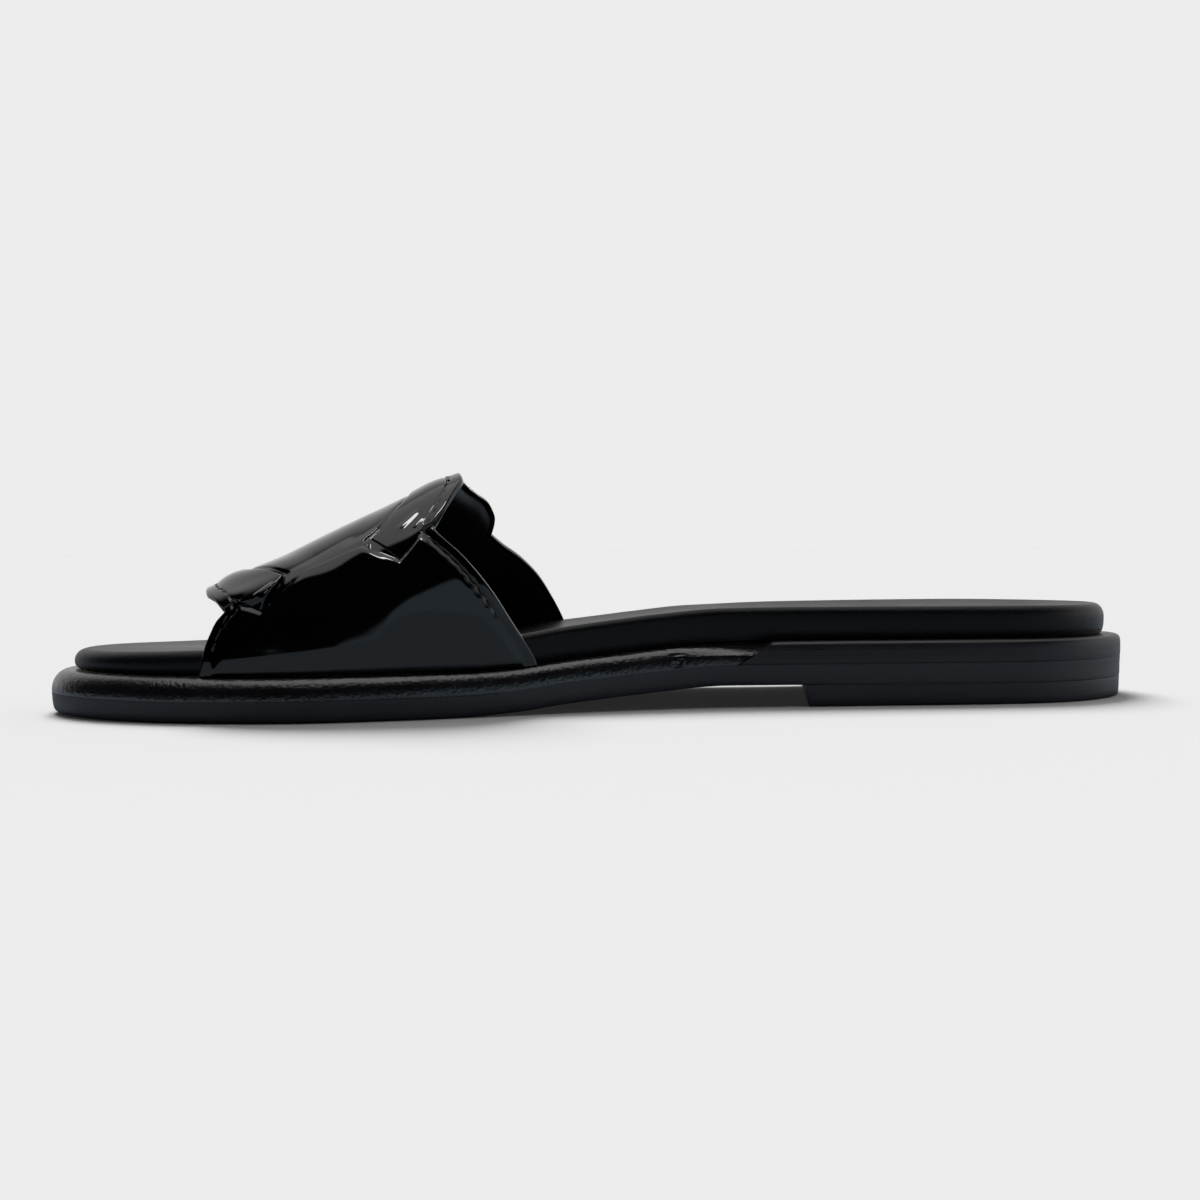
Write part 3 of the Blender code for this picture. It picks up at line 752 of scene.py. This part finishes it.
def insideShape(reach, turn, corners):
    inside = np.zeros(reach.shape, bool)
    for (t1, r1), (t2, r2) in zip(corners, corners[1:] + corners[:1]):
        crosses = (r1 > reach) != (r2 > reach)
        with np.errstate(divide="ignore", invalid="ignore"):
            where = t1 + (reach - r1) / (r2 - r1) * (t2 - t1)
        inside ^= crosses & (turn < where)
    return inside


panel = {
    # upper border of a side panel from the front notch to the rear one: turn, reach
    "border": [
        (54.5, 79.4), (52.2, 77.2), (53.6, 75.6), (55.8, 74.0), (58.8, 72.4), (61.9, 70.7), (60.4, 69.3),
        (56.3, 67.2), (53.1, 65.5), (50.6, 63.9), (47.3, 60.5), (46.1, 56.8), (45.2, 53.5), (44.9, 50.7),
        (46.9, 49.3), (49.6, 47.3), (52.5, 45.1), (55.6, 42.8), (53.2, 41.6), (51.1, 40.7), (48.0, 39.5),
        (45.4, 38.5), (44.0, 35.8),
    ],
    "frontLip": (-0.5, 0.8, 2.4),  # start and rise beside the front pad, and its roll
    "rearLip": (-0.15, 0.65, 0.8),
    "ridge": 0.36,  # rise along the middle strap
    "ridgeUp": (-0.55, 0.1),
    "hump": (0.06, 0.28),  # fullness under the ridge, in front and at the rear
    "humpFrom": (54.0, 40.0),
    "humpIn": 2.4,
    "depth": 26.0,
    "frontFrom": 60.5,  # reach where the front lip begins, and the rear one
    "rearFrom": 52.0,
    "change": 6.0,
    "fade": (1.2, 0.68),  # a lip's height dies out from here, to this share of the panel
    "tuck": (0.8, 1.3),  # the foot turns in this much, over this height
}


# height of the side panels over the plain band, and how far each point is inside one
def panelRelief(points, reach, turn):
    relief = np.zeros(reach.shape)
    within = np.full(reach.shape, -20.0)
    border = panel["border"]
    fine = np.linspace(0, len(border) - 1, 8 * (len(border) - 1) + 1)
    turns = np.interp(fine, np.arange(len(border)), [b[0] for b in border])
    reaches = np.interp(fine, np.arange(len(border)), [b[1] for b in border])
    size = np.abs(turn)
    corners = list(border) + [(44.0, 0.0), (95.0, 0.0), (95.0, 100.0), (54.5, 100.0)]
    covered = insideShape(reach, size, corners)
    for side in (medial, lateral):
        near = (np.sign(turn) == side) & (size > 30)
        inside, along = covered[near], reach[near]
        away = distanceTo(points[near], reaches, side * turns, band["wall"])
        away = np.where(inside, away, -away)
        into = np.maximum(away, 0)
        foot = distanceTo(points[near], np.linspace(10, 90, 60), np.full(60, side * 90.0), band["wall"])
        # beside the pads the panel ends in a rolled lip, beside the strap in a narrow ridge
        deep = into + foot
        start, share = panel["fade"]
        fade = 1 - ease((into - start) / (share * deep - start))
        lips = []
        for start, rise, roll in (panel["rearLip"], panel["frontLip"]):
            lips.append((start * inside + rise * rollOver(into, roll)) * fade)
        low, high = panel["ridgeUp"]
        ridge = panel["ridge"] * ease((away - low) / (high - low)) * fade
        front = ease((along - panel["frontFrom"]) / panel["change"])
        rear = ease((panel["rearFrom"] - along) / panel["change"])
        edge = lips[0] * rear + lips[1] * front + ridge * (1 - front) * (1 - rear)
        start, full = panel["humpFrom"]
        least, most = panel["hump"]
        hump = least + (most - least) * ease((along - start) / (full - start))
        hump = hump * np.minimum(1, deep / panel["depth"])
        hump = hump * (1 - np.exp(-into / panel["humpIn"])) * (1 - into / deep)
        tuck, height = panel["tuck"]
        relief[near] = edge * ease(foot / 4) + hump - tuck * (1 - rollOver(foot, height))
        within[near] = away
    return relief, within


stitch = {
    "pitch": 3.0, "long": 2.1, "wide": 0.55, "high": 0.44,
    "ends": (2.5, 81),  # degrees clear of a notch, and the lowest turn
    "askew": 1.06,  # the side panels' edges run askew to the reach
    "sunk": 0.1,
    "padOff": 0.4,  # from a pad's border
    "padSunk": 0.14,
    "deeper": 0.3,  # further sunk over the crest, and at the rear on the outer side too
    "deeperFrom": (-20, 6),
    "deeperTo": (26, 8),
}

strap = {
    # turn, reach
    "frontSeam": [(0, 80.2), (18, 77.0), (33, 71.0), (45, 66.1)],
    "rearSeam": [(0, 42.4), (18, 42.7), (29, 44.9), (36, 46.7), (41, 49.4)],
    "rise": {"frontSeam": 0.55, "rearSeam": 0.3},
    "fade": {"frontSeam": 9.0, "rearSeam": 7.0},
    "drop": 0.6,  # width of the step down beyond a seam
    "dropUnder": (5, 1.5),  # wider under a side panel, from this far in
    "under": 5,  # the strap's rise dies out this far under a side panel
    "seam": (0.42, 0.34, 0.3),  # depth and half width of the seams, and how far they lie on the strap
    "seamEnd": 2,  # degrees past the table over which a seam runs out
    "askew": 0.85,  # the seams run askew to the reach
}


# the middle strap comes up level with the two pads where it meets them
def strapRelief(reach, turn, within):
    size = np.abs(turn)
    relief, groove = np.zeros(reach.shape), np.zeros(reach.shape)
    depth, width, inside = strap["seam"]
    wider, full = strap["dropUnder"]
    end = strap["seamEnd"]
    for name, inward in (("frontSeam", -1), ("rearSeam", 1)):
        seam = strap[name]
        before = inward * (reach - readCurve(seam, 1, size))
        drop = strap["drop"] + wider * ease(within / full)
        step = ease((before + drop) / drop)
        relief += strap["rise"][name] * step * (1 - ease(before / strap["fade"][name]))
        line = bell(before * strap["askew"] - inside, width)
        groove += depth * line * ease((seam[-1][0] + end - size) / end)
    return relief * (1 - ease(within / strap["under"])) - groove


# 0 on the inner side, 1 on the outer one
def outerShare(turn):
    start, over = band["outerFrom"]
    return ease((turn - start) / over)


# extra thickness of a lobe, which tapers to its notches
def lobeRise(turn, notch):
    far, end = band["thinner"]
    ahead = np.where(notch == band["frontNotch"], band["taper"]["frontNotch"], band["taper"]["rearNotch"])
    taper = ease((np.abs(turn) - notch + ahead) / band["taperOver"])
    return band["lobe"] * (1 - far * outerShare(turn)) * (1 - end * taper)


# how far a lobe's rim bends off the arch, at a distance from the edge
def rimFlare(turn, notch, away):
    near, far = band["flare"]
    ahead, over = band["flareEnds"]
    stand = near + (far - near) * outerShare(turn)
    return stand * (1 - ease((np.abs(turn) - notch + ahead) / over)) * (1 - ease(away / band["flareIn"]))


# running length of an edge at each column, in millimetres
def alongEdge(reach, turn):
    line = archOut(reach, turn, np.full(len(reach), band["wall"]))
    return np.concatenate([[0], np.cumsum(np.linalg.norm(np.diff(line, axis=0), axis=1))]) / mm


# closed wall: the outer rows from front to rear, then the inner rows back
def wrapWall(outer, inner):
    return np.concatenate([outer, inner[::-1], outer[:1]])


def innerFlare(shares, turn):
    shares = np.asarray(shares)[:, None]
    front = rimFlare(turn, band["frontNotch"], shares * band["breadth"])
    rear = rimFlare(turn, band["rearNotch"], (1 - shares) * band["breadth"])
    return np.where(shares < 0.5, front, rear)


def makeBand():
    reach, turn = bandAt(bandShares())
    base = archOut(reach, turn, np.full(reach.shape, band["wall"]))
    fromFront = distanceTo(base, frontReach, frontTurn, band["wall"])
    fromRear = distanceTo(base, rearReach, rearTurn, band["wall"])
    away = np.minimum(fromFront, fromRear)
    relief, within = panelRelief(base, reach, turn)
    body = band["wall"] + relief + strapRelief(reach, turn, within)
    outside, over = band["stripUp"]
    top = band["strip"] + (body - band["strip"]) * ease((away - band["stitchIn"] + outside) / over)
    # the two lobes are thicker, and step down to the side panels
    start, over = band["crestTo"]
    crest = 1 - ease((np.abs(turn) - start) / over)
    deep, step = band["lobeIn"]
    clear, side = band["lobeSide"]
    lobe = ease((-within - clear) / side) * (1 - ease((away - deep - crest) / step))
    notch = np.where(fromFront < fromRear, band["frontNotch"], band["rearNotch"])
    top += lobe * lobeRise(turn, notch)
    # stitches pull the strip into small puckers
    phase = np.where(fromFront < fromRear, alongEdge(frontReach, frontTurn), alongEdge(rearReach, rearTurn))
    end, over = band["stripEnds"]
    strip = (1 - lobe) * ease((end - np.abs(turn)) / over)
    top -= strip * band["groove"] * bell(away - band["stitchIn"], band["grooveWide"])
    inside, half = band["puckerIn"]
    wave = np.cos(2 * math.pi * phase / stitch["pitch"]) * bell(away - band["stitchIn"] - inside, half)
    top += strip * band["pucker"] * wave
    low = band["edge"] + rimFlare(turn, notch, 0.0)
    lift = low + (top - low) * rollOver(away, band["edgeRoll"])
    outer = archOut(reach, turn, lift)
    rim = np.array([0, 0.006, 0.014, 0.022, 0.03, 0.04, 0.05, 0.065, 0.085])
    innerShares = np.concatenate([rim, np.linspace(0.11, 0.89, 20), 1 - rim[::-1]])
    inReach, inTurn = bandAt(innerShares)
    wide, step = band["hem"]
    hem = ease((np.minimum(innerShares, 1 - innerShares) * band["breadth"] - wide) / step)[:, None]
    low, high = band["hemLift"]
    inner = archOut(inReach, inTurn, low + high * hem + innerFlare(innerShares, inTurn))
    piece = gridPiece("bandShell", wrapWall(outer, inner), 70)
    return settle(piece, finish["patent"], "patent", "band")


lining = {"from": 0.026, "to": 0.974, "rows": 36, "outside": 0.44, "inside": 0.02, "every": 3}


def makeLining():
    shares = stations(lining["rows"], lining["from"], lining["to"])
    reach, turn = bandAt(shares)
    pick = np.unique(np.append(np.arange(0, reach.shape[1], lining["every"]), reach.shape[1] - 1))
    reach, turn = reach[:, pick], turn[:, pick]
    edge = ease(np.minimum(shares - lining["from"], lining["to"] - shares) / 0.02)[:, None]
    flare = innerFlare(shares, turn)
    outer = archOut(reach, turn, lining["outside"] + flare)
    inner = archOut(reach, turn, lining["inside"] + 0.2 * (1 - edge) + flare)
    piece = gridPiece("bandLining", wrapWall(outer, inner), 60)
    return settle(piece, finish["lining"], "cushion_leather")


pads = {
    "frontPad": {
        "node": "front_pad", "notch": 54.5, "crown": 0.7, "crownTo": (14, 38), "bulge": (1.2, 38, 60),
        "fold": (51, 59, 0.40, 1.05, 0.2), "perDegree": 0.36, "fill": 0.8,
        # turn, reach: the seam to the strap and on along the arm, then the stitched side
        "inside": [[(0, 80.0), (18, 76.8), (33, 70.8), (45, 66.2)], [(45, 66.2), (61.8, 70.6)]],
        "outside": [[
            (0, 85.3), (10, 84.9), (29, 82.2), (37, 80.1), (49.3, 77.2), (55.8, 73.9), (61.8, 70.6),
        ]],
        # short folds: turn and reach of both ends, height, width of the upper and lower face
        "folds": [
            (-54.6, 71.8, -49.6, 68.3, 0.36, 0.8, 1.4), (-57.6, 71.0, -54.0, 68.6, 0.12, 0.6, 0.9),
        ],
    },
    "rearPad": {
        "node": "rear_pad", "notch": 44.0, "crown": 0.45, "crownTo": (20, 38), "bulge": (0.0, 30, 46),
        "fold": (40, 49, 0.20, 0.6, 0.3), "perDegree": 0.48, "fill": 0.8,
        "inside": [[(0, 42.2), (18, 42.5), (29, 44.7), (36, 46.5), (41, 49.1)], [(41, 49.1), (55.2, 42.9)]],
        "outside": [[
            (0, 36.0), (21.6, 33.9), (34.3, 35.6), (41.4, 37.5), (45.3, 38.7), (51.1, 40.8), (55.2, 42.9),
        ]],
        "folds": [
            (-40.4, 43.3, -33.9, 39.4, 0.18, 0.8, 1.25), (-42.0, 40.2, -38.5, 38.4, 0.1, 0.6, 1.0),
        ],
    },
}
padShape = {
    "rows": 45, "seamRoll": 0.8, "seamDrop": 0.6, "stitchRoll": 0.6, "stitchDrop": 0.35, "armRoll": 0.5,
    "tucked": 0.1, "blend": 0.12, "bulgeIn": 1.2, "dome": 0.8,
}


# short creases: a steeper upper face and a longer lower one, dying out at both ends
def foldRelief(reach, turn, folds, perDegree):
    relief = np.zeros(reach.shape)
    for turn1, reach1, turn2, reach2, height, upper, lower in folds:
        run, up = (turn2 - turn1) * perDegree, reach2 - reach1
        length = math.hypot(run, up)
        across, ahead = (turn - turn1) * perDegree, reach - reach1
        along = (across * run + ahead * up) / length**2
        off = (across * up - ahead * run) / length
        ends = ease((along + 0.15) / 0.3) * ease((1.15 - along) / 0.3)
        relief += height * np.where(off < 0, ease(1 + off / upper), 1 - ease(off / lower)) * ends
    return relief


def makePad(name):
    pad = pads[name]
    tip = pad["outside"][-1][-1][0]
    horn = pad["inside"][0][-1][0]
    notch = pad["notch"]
    half = np.concatenate([np.linspace(0, horn, 81), np.linspace(horn, tip, 41)[1:]])
    line = np.concatenate([-half[:0:-1], half])
    inside, outside = borderAt(pad["inside"], line), borderAt(pad["outside"], line)
    # rows crowd towards both borders, where the pad rolls under
    across = ((1 - np.cos(np.linspace(0, math.pi, padShape["rows"]))) / 2)[:, None]
    reach = inside * (1 - across) + outside * across
    turn = np.broadcast_to(line, reach.shape)
    base = archOut(reach, turn, np.full(reach.shape, band["wall"]))

    def toBorder(border, pick):
        return distanceTo(base, border[pick], line[pick], band["wall"])

    toSeam = toBorder(inside, np.abs(line) <= horn)
    toStitch = toBorder(outside, np.abs(line) < notch - 2)
    toArm = np.minimum(toBorder(inside, line <= -horn), toBorder(inside, line >= horn))
    toFold = np.minimum(toBorder(outside, line < 2 - notch), toBorder(outside, line > notch - 2))
    dome = np.sin(math.pi * toStitch / (toStitch + toSeam + 1e-6)) ** padShape["dome"]
    flush = band["strip"] + lobeRise(turn, notch)
    start, full = pad["crownTo"]
    crown = pad["crown"] * (1 - ease((np.abs(turn) - start) / (full - start)))
    full, start, end = pad["bulge"]
    bulge = full * ease((np.abs(turn) - start) / (end - start))
    bulge = bulge * (1 - np.exp(-toStitch / padShape["bulgeIn"]))
    level = flush + crown * dome + bulge + foldRelief(reach, turn, pad["folds"], pad["perDegree"])
    level -= padShape["seamDrop"] * (1 - rollOver(toSeam, padShape["seamRoll"]))
    level -= padShape["stitchDrop"] * (1 - rollOver(toStitch, padShape["stitchRoll"]))
    # beside the side panel it falls straight to its lower border
    start, full, slope, high, low = pad["fold"]
    lower = ease((np.abs(turn) - start) / (full - start))
    fold = band["wall"] + high + (low - high) * lower + slope * toFold
    soft = padShape["blend"]
    level = -soft * np.log(np.exp(-level / soft) + np.exp(-fold / soft))
    low = band["wall"] - padShape["tucked"]
    down = rollOver(toArm, padShape["armRoll"])
    over = archOut(reach, turn, low + (level - low) * down)
    under = archOut(reach, turn, np.full(reach.shape, low - 0.2))
    piece = gridPiece(name, wrapWall(over, under), 75)
    settle(piece, finish["patent"], "patent", pad["node"])
    return piece


# points and headings along a line of reach and turn, one per stitch
def stitchPlaces(reach, turn, lift):
    line, top = archOut(reach, turn, lift), archOut(reach, turn, lift + 0.5)
    run = np.concatenate([[0], np.cumsum(np.linalg.norm(np.diff(line, axis=0), axis=1))])
    count = max(int(run[-1] / (stitch["pitch"] * mm)), 1)
    spots = (np.arange(count) + 0.5) * run[-1] / count

    def read(values, at):
        return np.stack([np.interp(at, run, values[:, k]) for k in range(3)], axis=1)

    ahead = read(line, spots + 0.3 * mm) - read(line, spots - 0.3 * mm)
    return zip(read(line, spots), ahead, read(top, spots) - read(line, spots))


def makeStitches():
    clearPick()
    bpy.ops.mesh.primitive_uv_sphere_add(segments=8, ring_count=6, radius=0.5)
    first = bpy.context.object
    first.scale = (stitch["long"] * mm, stitch["wide"] * mm, stitch["high"] * mm)
    bpy.ops.object.transform_apply(location=False, rotation=False, scale=True)
    lines = []
    for reachEdge, turnEdge, inward, pad in (
        (frontReach, frontTurn, -1, pads["frontPad"]),
        (rearReach, rearTurn, 1, pads["rearPad"]),
    ):
        notch, size = pad["notch"], np.abs(turnEdge)
        clear, lowest = stitch["ends"]
        for side in (medial, lateral):
            pick = (np.sign(turnEdge) == side) & (size > notch + clear) & (size < lowest)
            reach = reachEdge[pick] + inward * band["stitchIn"] * stitch["askew"]
            lines.append((reach, turnEdge[pick], np.full(pick.sum(), band["strip"] - stitch["sunk"])))
        turns = np.linspace(-notch + 1, notch - 1, 81)
        start, over = stitch["deeperFrom"]
        deeper = stitch["deeper"] * ease((turns - start) / over)
        if pad is pads["frontPad"]:
            end, over = stitch["deeperTo"]
            deeper = deeper * ease((end - turns) / over)
        lift = band["strip"] + lobeRise(turns, notch) - stitch["padSunk"] - deeper
        lines.append((borderAt(pad["outside"], turns) - inward * stitch["padOff"], turns, lift))
    copies = []
    for reach, turn, lift in lines:
        for spot, ahead, up in stitchPlaces(reach, turn, lift):
            forward = Vector(ahead).normalized()
            side = Vector(up).cross(forward).normalized()
            turned = Matrix((forward, side, forward.cross(side))).transposed().to_4x4()
            copy = first.copy()
            copy.data = first.data.copy()
            copy.data.transform(Matrix.Translation(Vector(spot)) @ turned)
            bpy.context.scene.collection.objects.link(copy)
            copies.append(copy)
    bpy.data.objects.remove(first)
    clearPick()
    for copy in copies:
        copy.select_set(True)
    bpy.context.view_layer.objects.active = copies[0]
    bpy.ops.object.join()
    piece = bpy.context.object
    piece.name = piece.data.name = "bandStitches"
    bpy.ops.object.shade_smooth()
    print("stitches:", len(copies))
    return settle(piece, finish["thread"], "patent")


makeBand()
makeLining()
for padName in pads:
    makePad(padName)
makeStitches()
print("band dressed")


studio = {
    "paper": 0.846,  # brightness of floor and backdrop as the camera sees them
    "floorSeen": (0.47, 0.47, 0.47),
    "floorGlow": 0.018,  # keeps the shadows pale, for the camera only
    "floorMirrored": (0.175, 0.205, 0.235),  # a darker table for all that reflects in the shoe
    "above": 1.2,
    "aboveFrom": (0.83, 0.88),
    "behind": 0.62,
    "behindFrom": (0.05, 0.45),
    "behindSlant": 0.35,  # the wall reaches further round on the heel's side
    "heelSide": 0.9,
    "heelSideFrom": (0.80, 0.97),
    "card": (0.33, 0.43, 0.50),  # dim cool card low on the camera's side
    "cardTop": -0.10,
    "cardSlant": 0.5,
    "cardSoft": 0.02,
    "cardFrom": (0.2, 0.5),
    "sun": 5.15,
    "sunFrom": (-0.15, 0.85, 1.0),
    "sunSpread": 34,
    "key": 0.62,  # small lamp high on the camera's side, for the bright lines on the patent's folds
    "keyFrom": (0.13, -0.37, 0.92),
    "keySpread": 13,
}


def makeFloor():
    clearPick()
    bpy.ops.mesh.primitive_plane_add(size=80, location=(0, 0, -0.00002))
    floor = bpy.context.object
    floor.name = "paperFloor"
    material = bpy.data.materials.new("paper")
    material.use_nodes = True
    tree = material.node_tree
    shader = tree.nodes["Principled BSDF"]
    seen = tree.nodes.new("ShaderNodeLightPath")
    tone = tree.nodes.new("ShaderNodeMix")
    tone.data_type = "RGBA"
    tone.inputs["A"].default_value = (*studio["floorMirrored"], 1)
    tone.inputs["B"].default_value = (*studio["floorSeen"], 1)
    tree.links.new(seen.outputs["Is Camera Ray"], tone.inputs["Factor"])
    tree.links.new(tone.outputs["Result"], shader.inputs["Base Color"])
    glow = tree.nodes.new("ShaderNodeCombineColor")
    level = mathNode(tree, "MULTIPLY", seen.outputs["Is Camera Ray"], studio["floorGlow"])
    for socket in glow.inputs:
        tree.links.new(level, socket)
    tree.links.new(glow.outputs[0], shader.inputs["Emission Color"])
    shader.inputs["Emission Strength"].default_value = 1.0
    shader.inputs["Roughness"].default_value = 1.0
    shader.inputs["Specular IOR Level"].default_value = 0.0
    floor.data.materials.append(material)


def hangLamp(name):
    light = bpy.data.lights.new(name + "Lamp", "SUN")
    light.energy = studio[name]
    light.angle = math.radians(studio[name + "Spread"])
    lamp = bpy.data.objects.new(name + "Lamp", light)
    bpy.context.scene.collection.objects.link(lamp)
    lamp.rotation_mode = "QUATERNION"
    lamp.rotation_quaternion = Vector(studio[name + "From"]).to_track_quat("Z", "Y")
    return lamp


# soft box overhead, pale wall behind, dark room on the camera's side; the camera itself sees plain paper
def makeLight():
    world = bpy.data.worlds.new("softStudio")
    bpy.context.scene.world = world
    world.use_nodes = True
    tree = world.node_tree
    tree.nodes.clear()
    out = tree.nodes.new("ShaderNodeOutputWorld")
    paper = tree.nodes.new("ShaderNodeBackground")
    paper.inputs["Color"].default_value = (1, 1, 1, 1)
    paper.inputs["Strength"].default_value = studio["paper"]
    room = tree.nodes.new("ShaderNodeBackground")
    mix = tree.nodes.new("ShaderNodeMixShader")
    seen = tree.nodes.new("ShaderNodeLightPath")
    tree.links.new(seen.outputs["Is Camera Ray"], mix.inputs["Fac"])
    tree.links.new(room.outputs[0], mix.inputs[1])
    tree.links.new(paper.outputs[0], mix.inputs[2])
    tree.links.new(mix.outputs[0], out.inputs["Surface"])

    split = tree.nodes.new("ShaderNodeSeparateXYZ")
    tree.links.new(tree.nodes.new("ShaderNodeTexCoord").outputs["Generated"], split.inputs[0])
    x, y, z = split.outputs

    def ramp(value, low, high):
        node = tree.nodes.new("ShaderNodeMapRange")
        node.interpolation_type = "SMOOTHSTEP"
        node.inputs["From Min"].default_value = low
        node.inputs["From Max"].default_value = high
        tree.links.new(value, node.inputs["Value"])
        return node.outputs["Result"]

    above = mathNode(tree, "MULTIPLY", ramp(z, *studio["aboveFrom"]), studio["above"])
    wall = mathNode(tree, "ADD", y, mathNode(tree, "MULTIPLY", x, studio["behindSlant"]))
    behind = mathNode(tree, "MULTIPLY", ramp(wall, *studio["behindFrom"]), studio["behind"])
    beside = mathNode(tree, "MULTIPLY", ramp(x, *studio["heelSideFrom"]), studio["heelSide"])
    plain = mathNode(tree, "MAXIMUM", mathNode(tree, "MAXIMUM", above, behind), beside)
    cardEdge = mathNode(tree, "ADD", mathNode(tree, "MULTIPLY", x, studio["cardSlant"]), studio["cardTop"])
    onCard = ramp(mathNode(tree, "SUBTRACT", cardEdge, z), -studio["cardSoft"], studio["cardSoft"])
    nearSide = ramp(mathNode(tree, "MULTIPLY", y, -1.0), *studio["cardFrom"])
    onCard = mathNode(tree, "MULTIPLY", onCard, nearSide)
    colour = tree.nodes.new("ShaderNodeMix")
    colour.data_type = "RGBA"
    grey = tree.nodes.new("ShaderNodeCombineColor")
    for socket in grey.inputs:
        if socket.name in ("Red", "Green", "Blue"):
            tree.links.new(plain, socket)
    tree.links.new(grey.outputs[0], colour.inputs["A"])
    colour.inputs["B"].default_value = (*studio["card"], 1)
    tree.links.new(onCard, colour.inputs["Factor"])
    tree.links.new(colour.outputs["Result"], room.inputs["Color"])

    # a wide sun evens out the floor and leaves no mirror image in the patent
    hangLamp("sun").visible_glossy = False
    # the key lamp shows in the patent alone
    key = hangLamp("key")
    key.visible_diffuse = False
    patent = bpy.data.collections.new("patentPieces")
    for name in ("bandShell", *pads):
        patent.objects.link(bpy.data.objects[name])
    key.light_linking.receiver_collection = patent


view = {
    "place": (-0.0418, -0.3978, 0.036),
    "aim": (-0.0006, 0.0, 0.0240),
    "lens": 49.8,
    "roll": 0.49,
}


def makeCamera():
    camera = bpy.data.objects.new("camera", bpy.data.cameras.new("camera"))
    bpy.context.scene.collection.objects.link(camera)
    camera.data.lens = view["lens"]
    camera.data.sensor_width = 36
    camera.data.clip_start, camera.data.clip_end = 0.01, 200
    look = (Vector(view["aim"]) - Vector(view["place"])).normalized()
    right = look.cross(Vector((0, 0, 1))).normalized()
    up = right.cross(look)
    roll = math.radians(view["roll"])
    right, up = right * math.cos(roll) - up * math.sin(roll), up * math.cos(roll) + right * math.sin(roll)
    turned = Matrix((right, up, -look)).transposed().to_4x4()
    camera.matrix_world = Matrix.Translation(Vector(view["place"])) @ turned
    bpy.context.scene.camera = camera


makeFloor()
makeLight()
makeCamera()
bpy.context.scene.view_settings.view_transform = "Standard"
bpy.context.view_layer.update()
print("studio set")
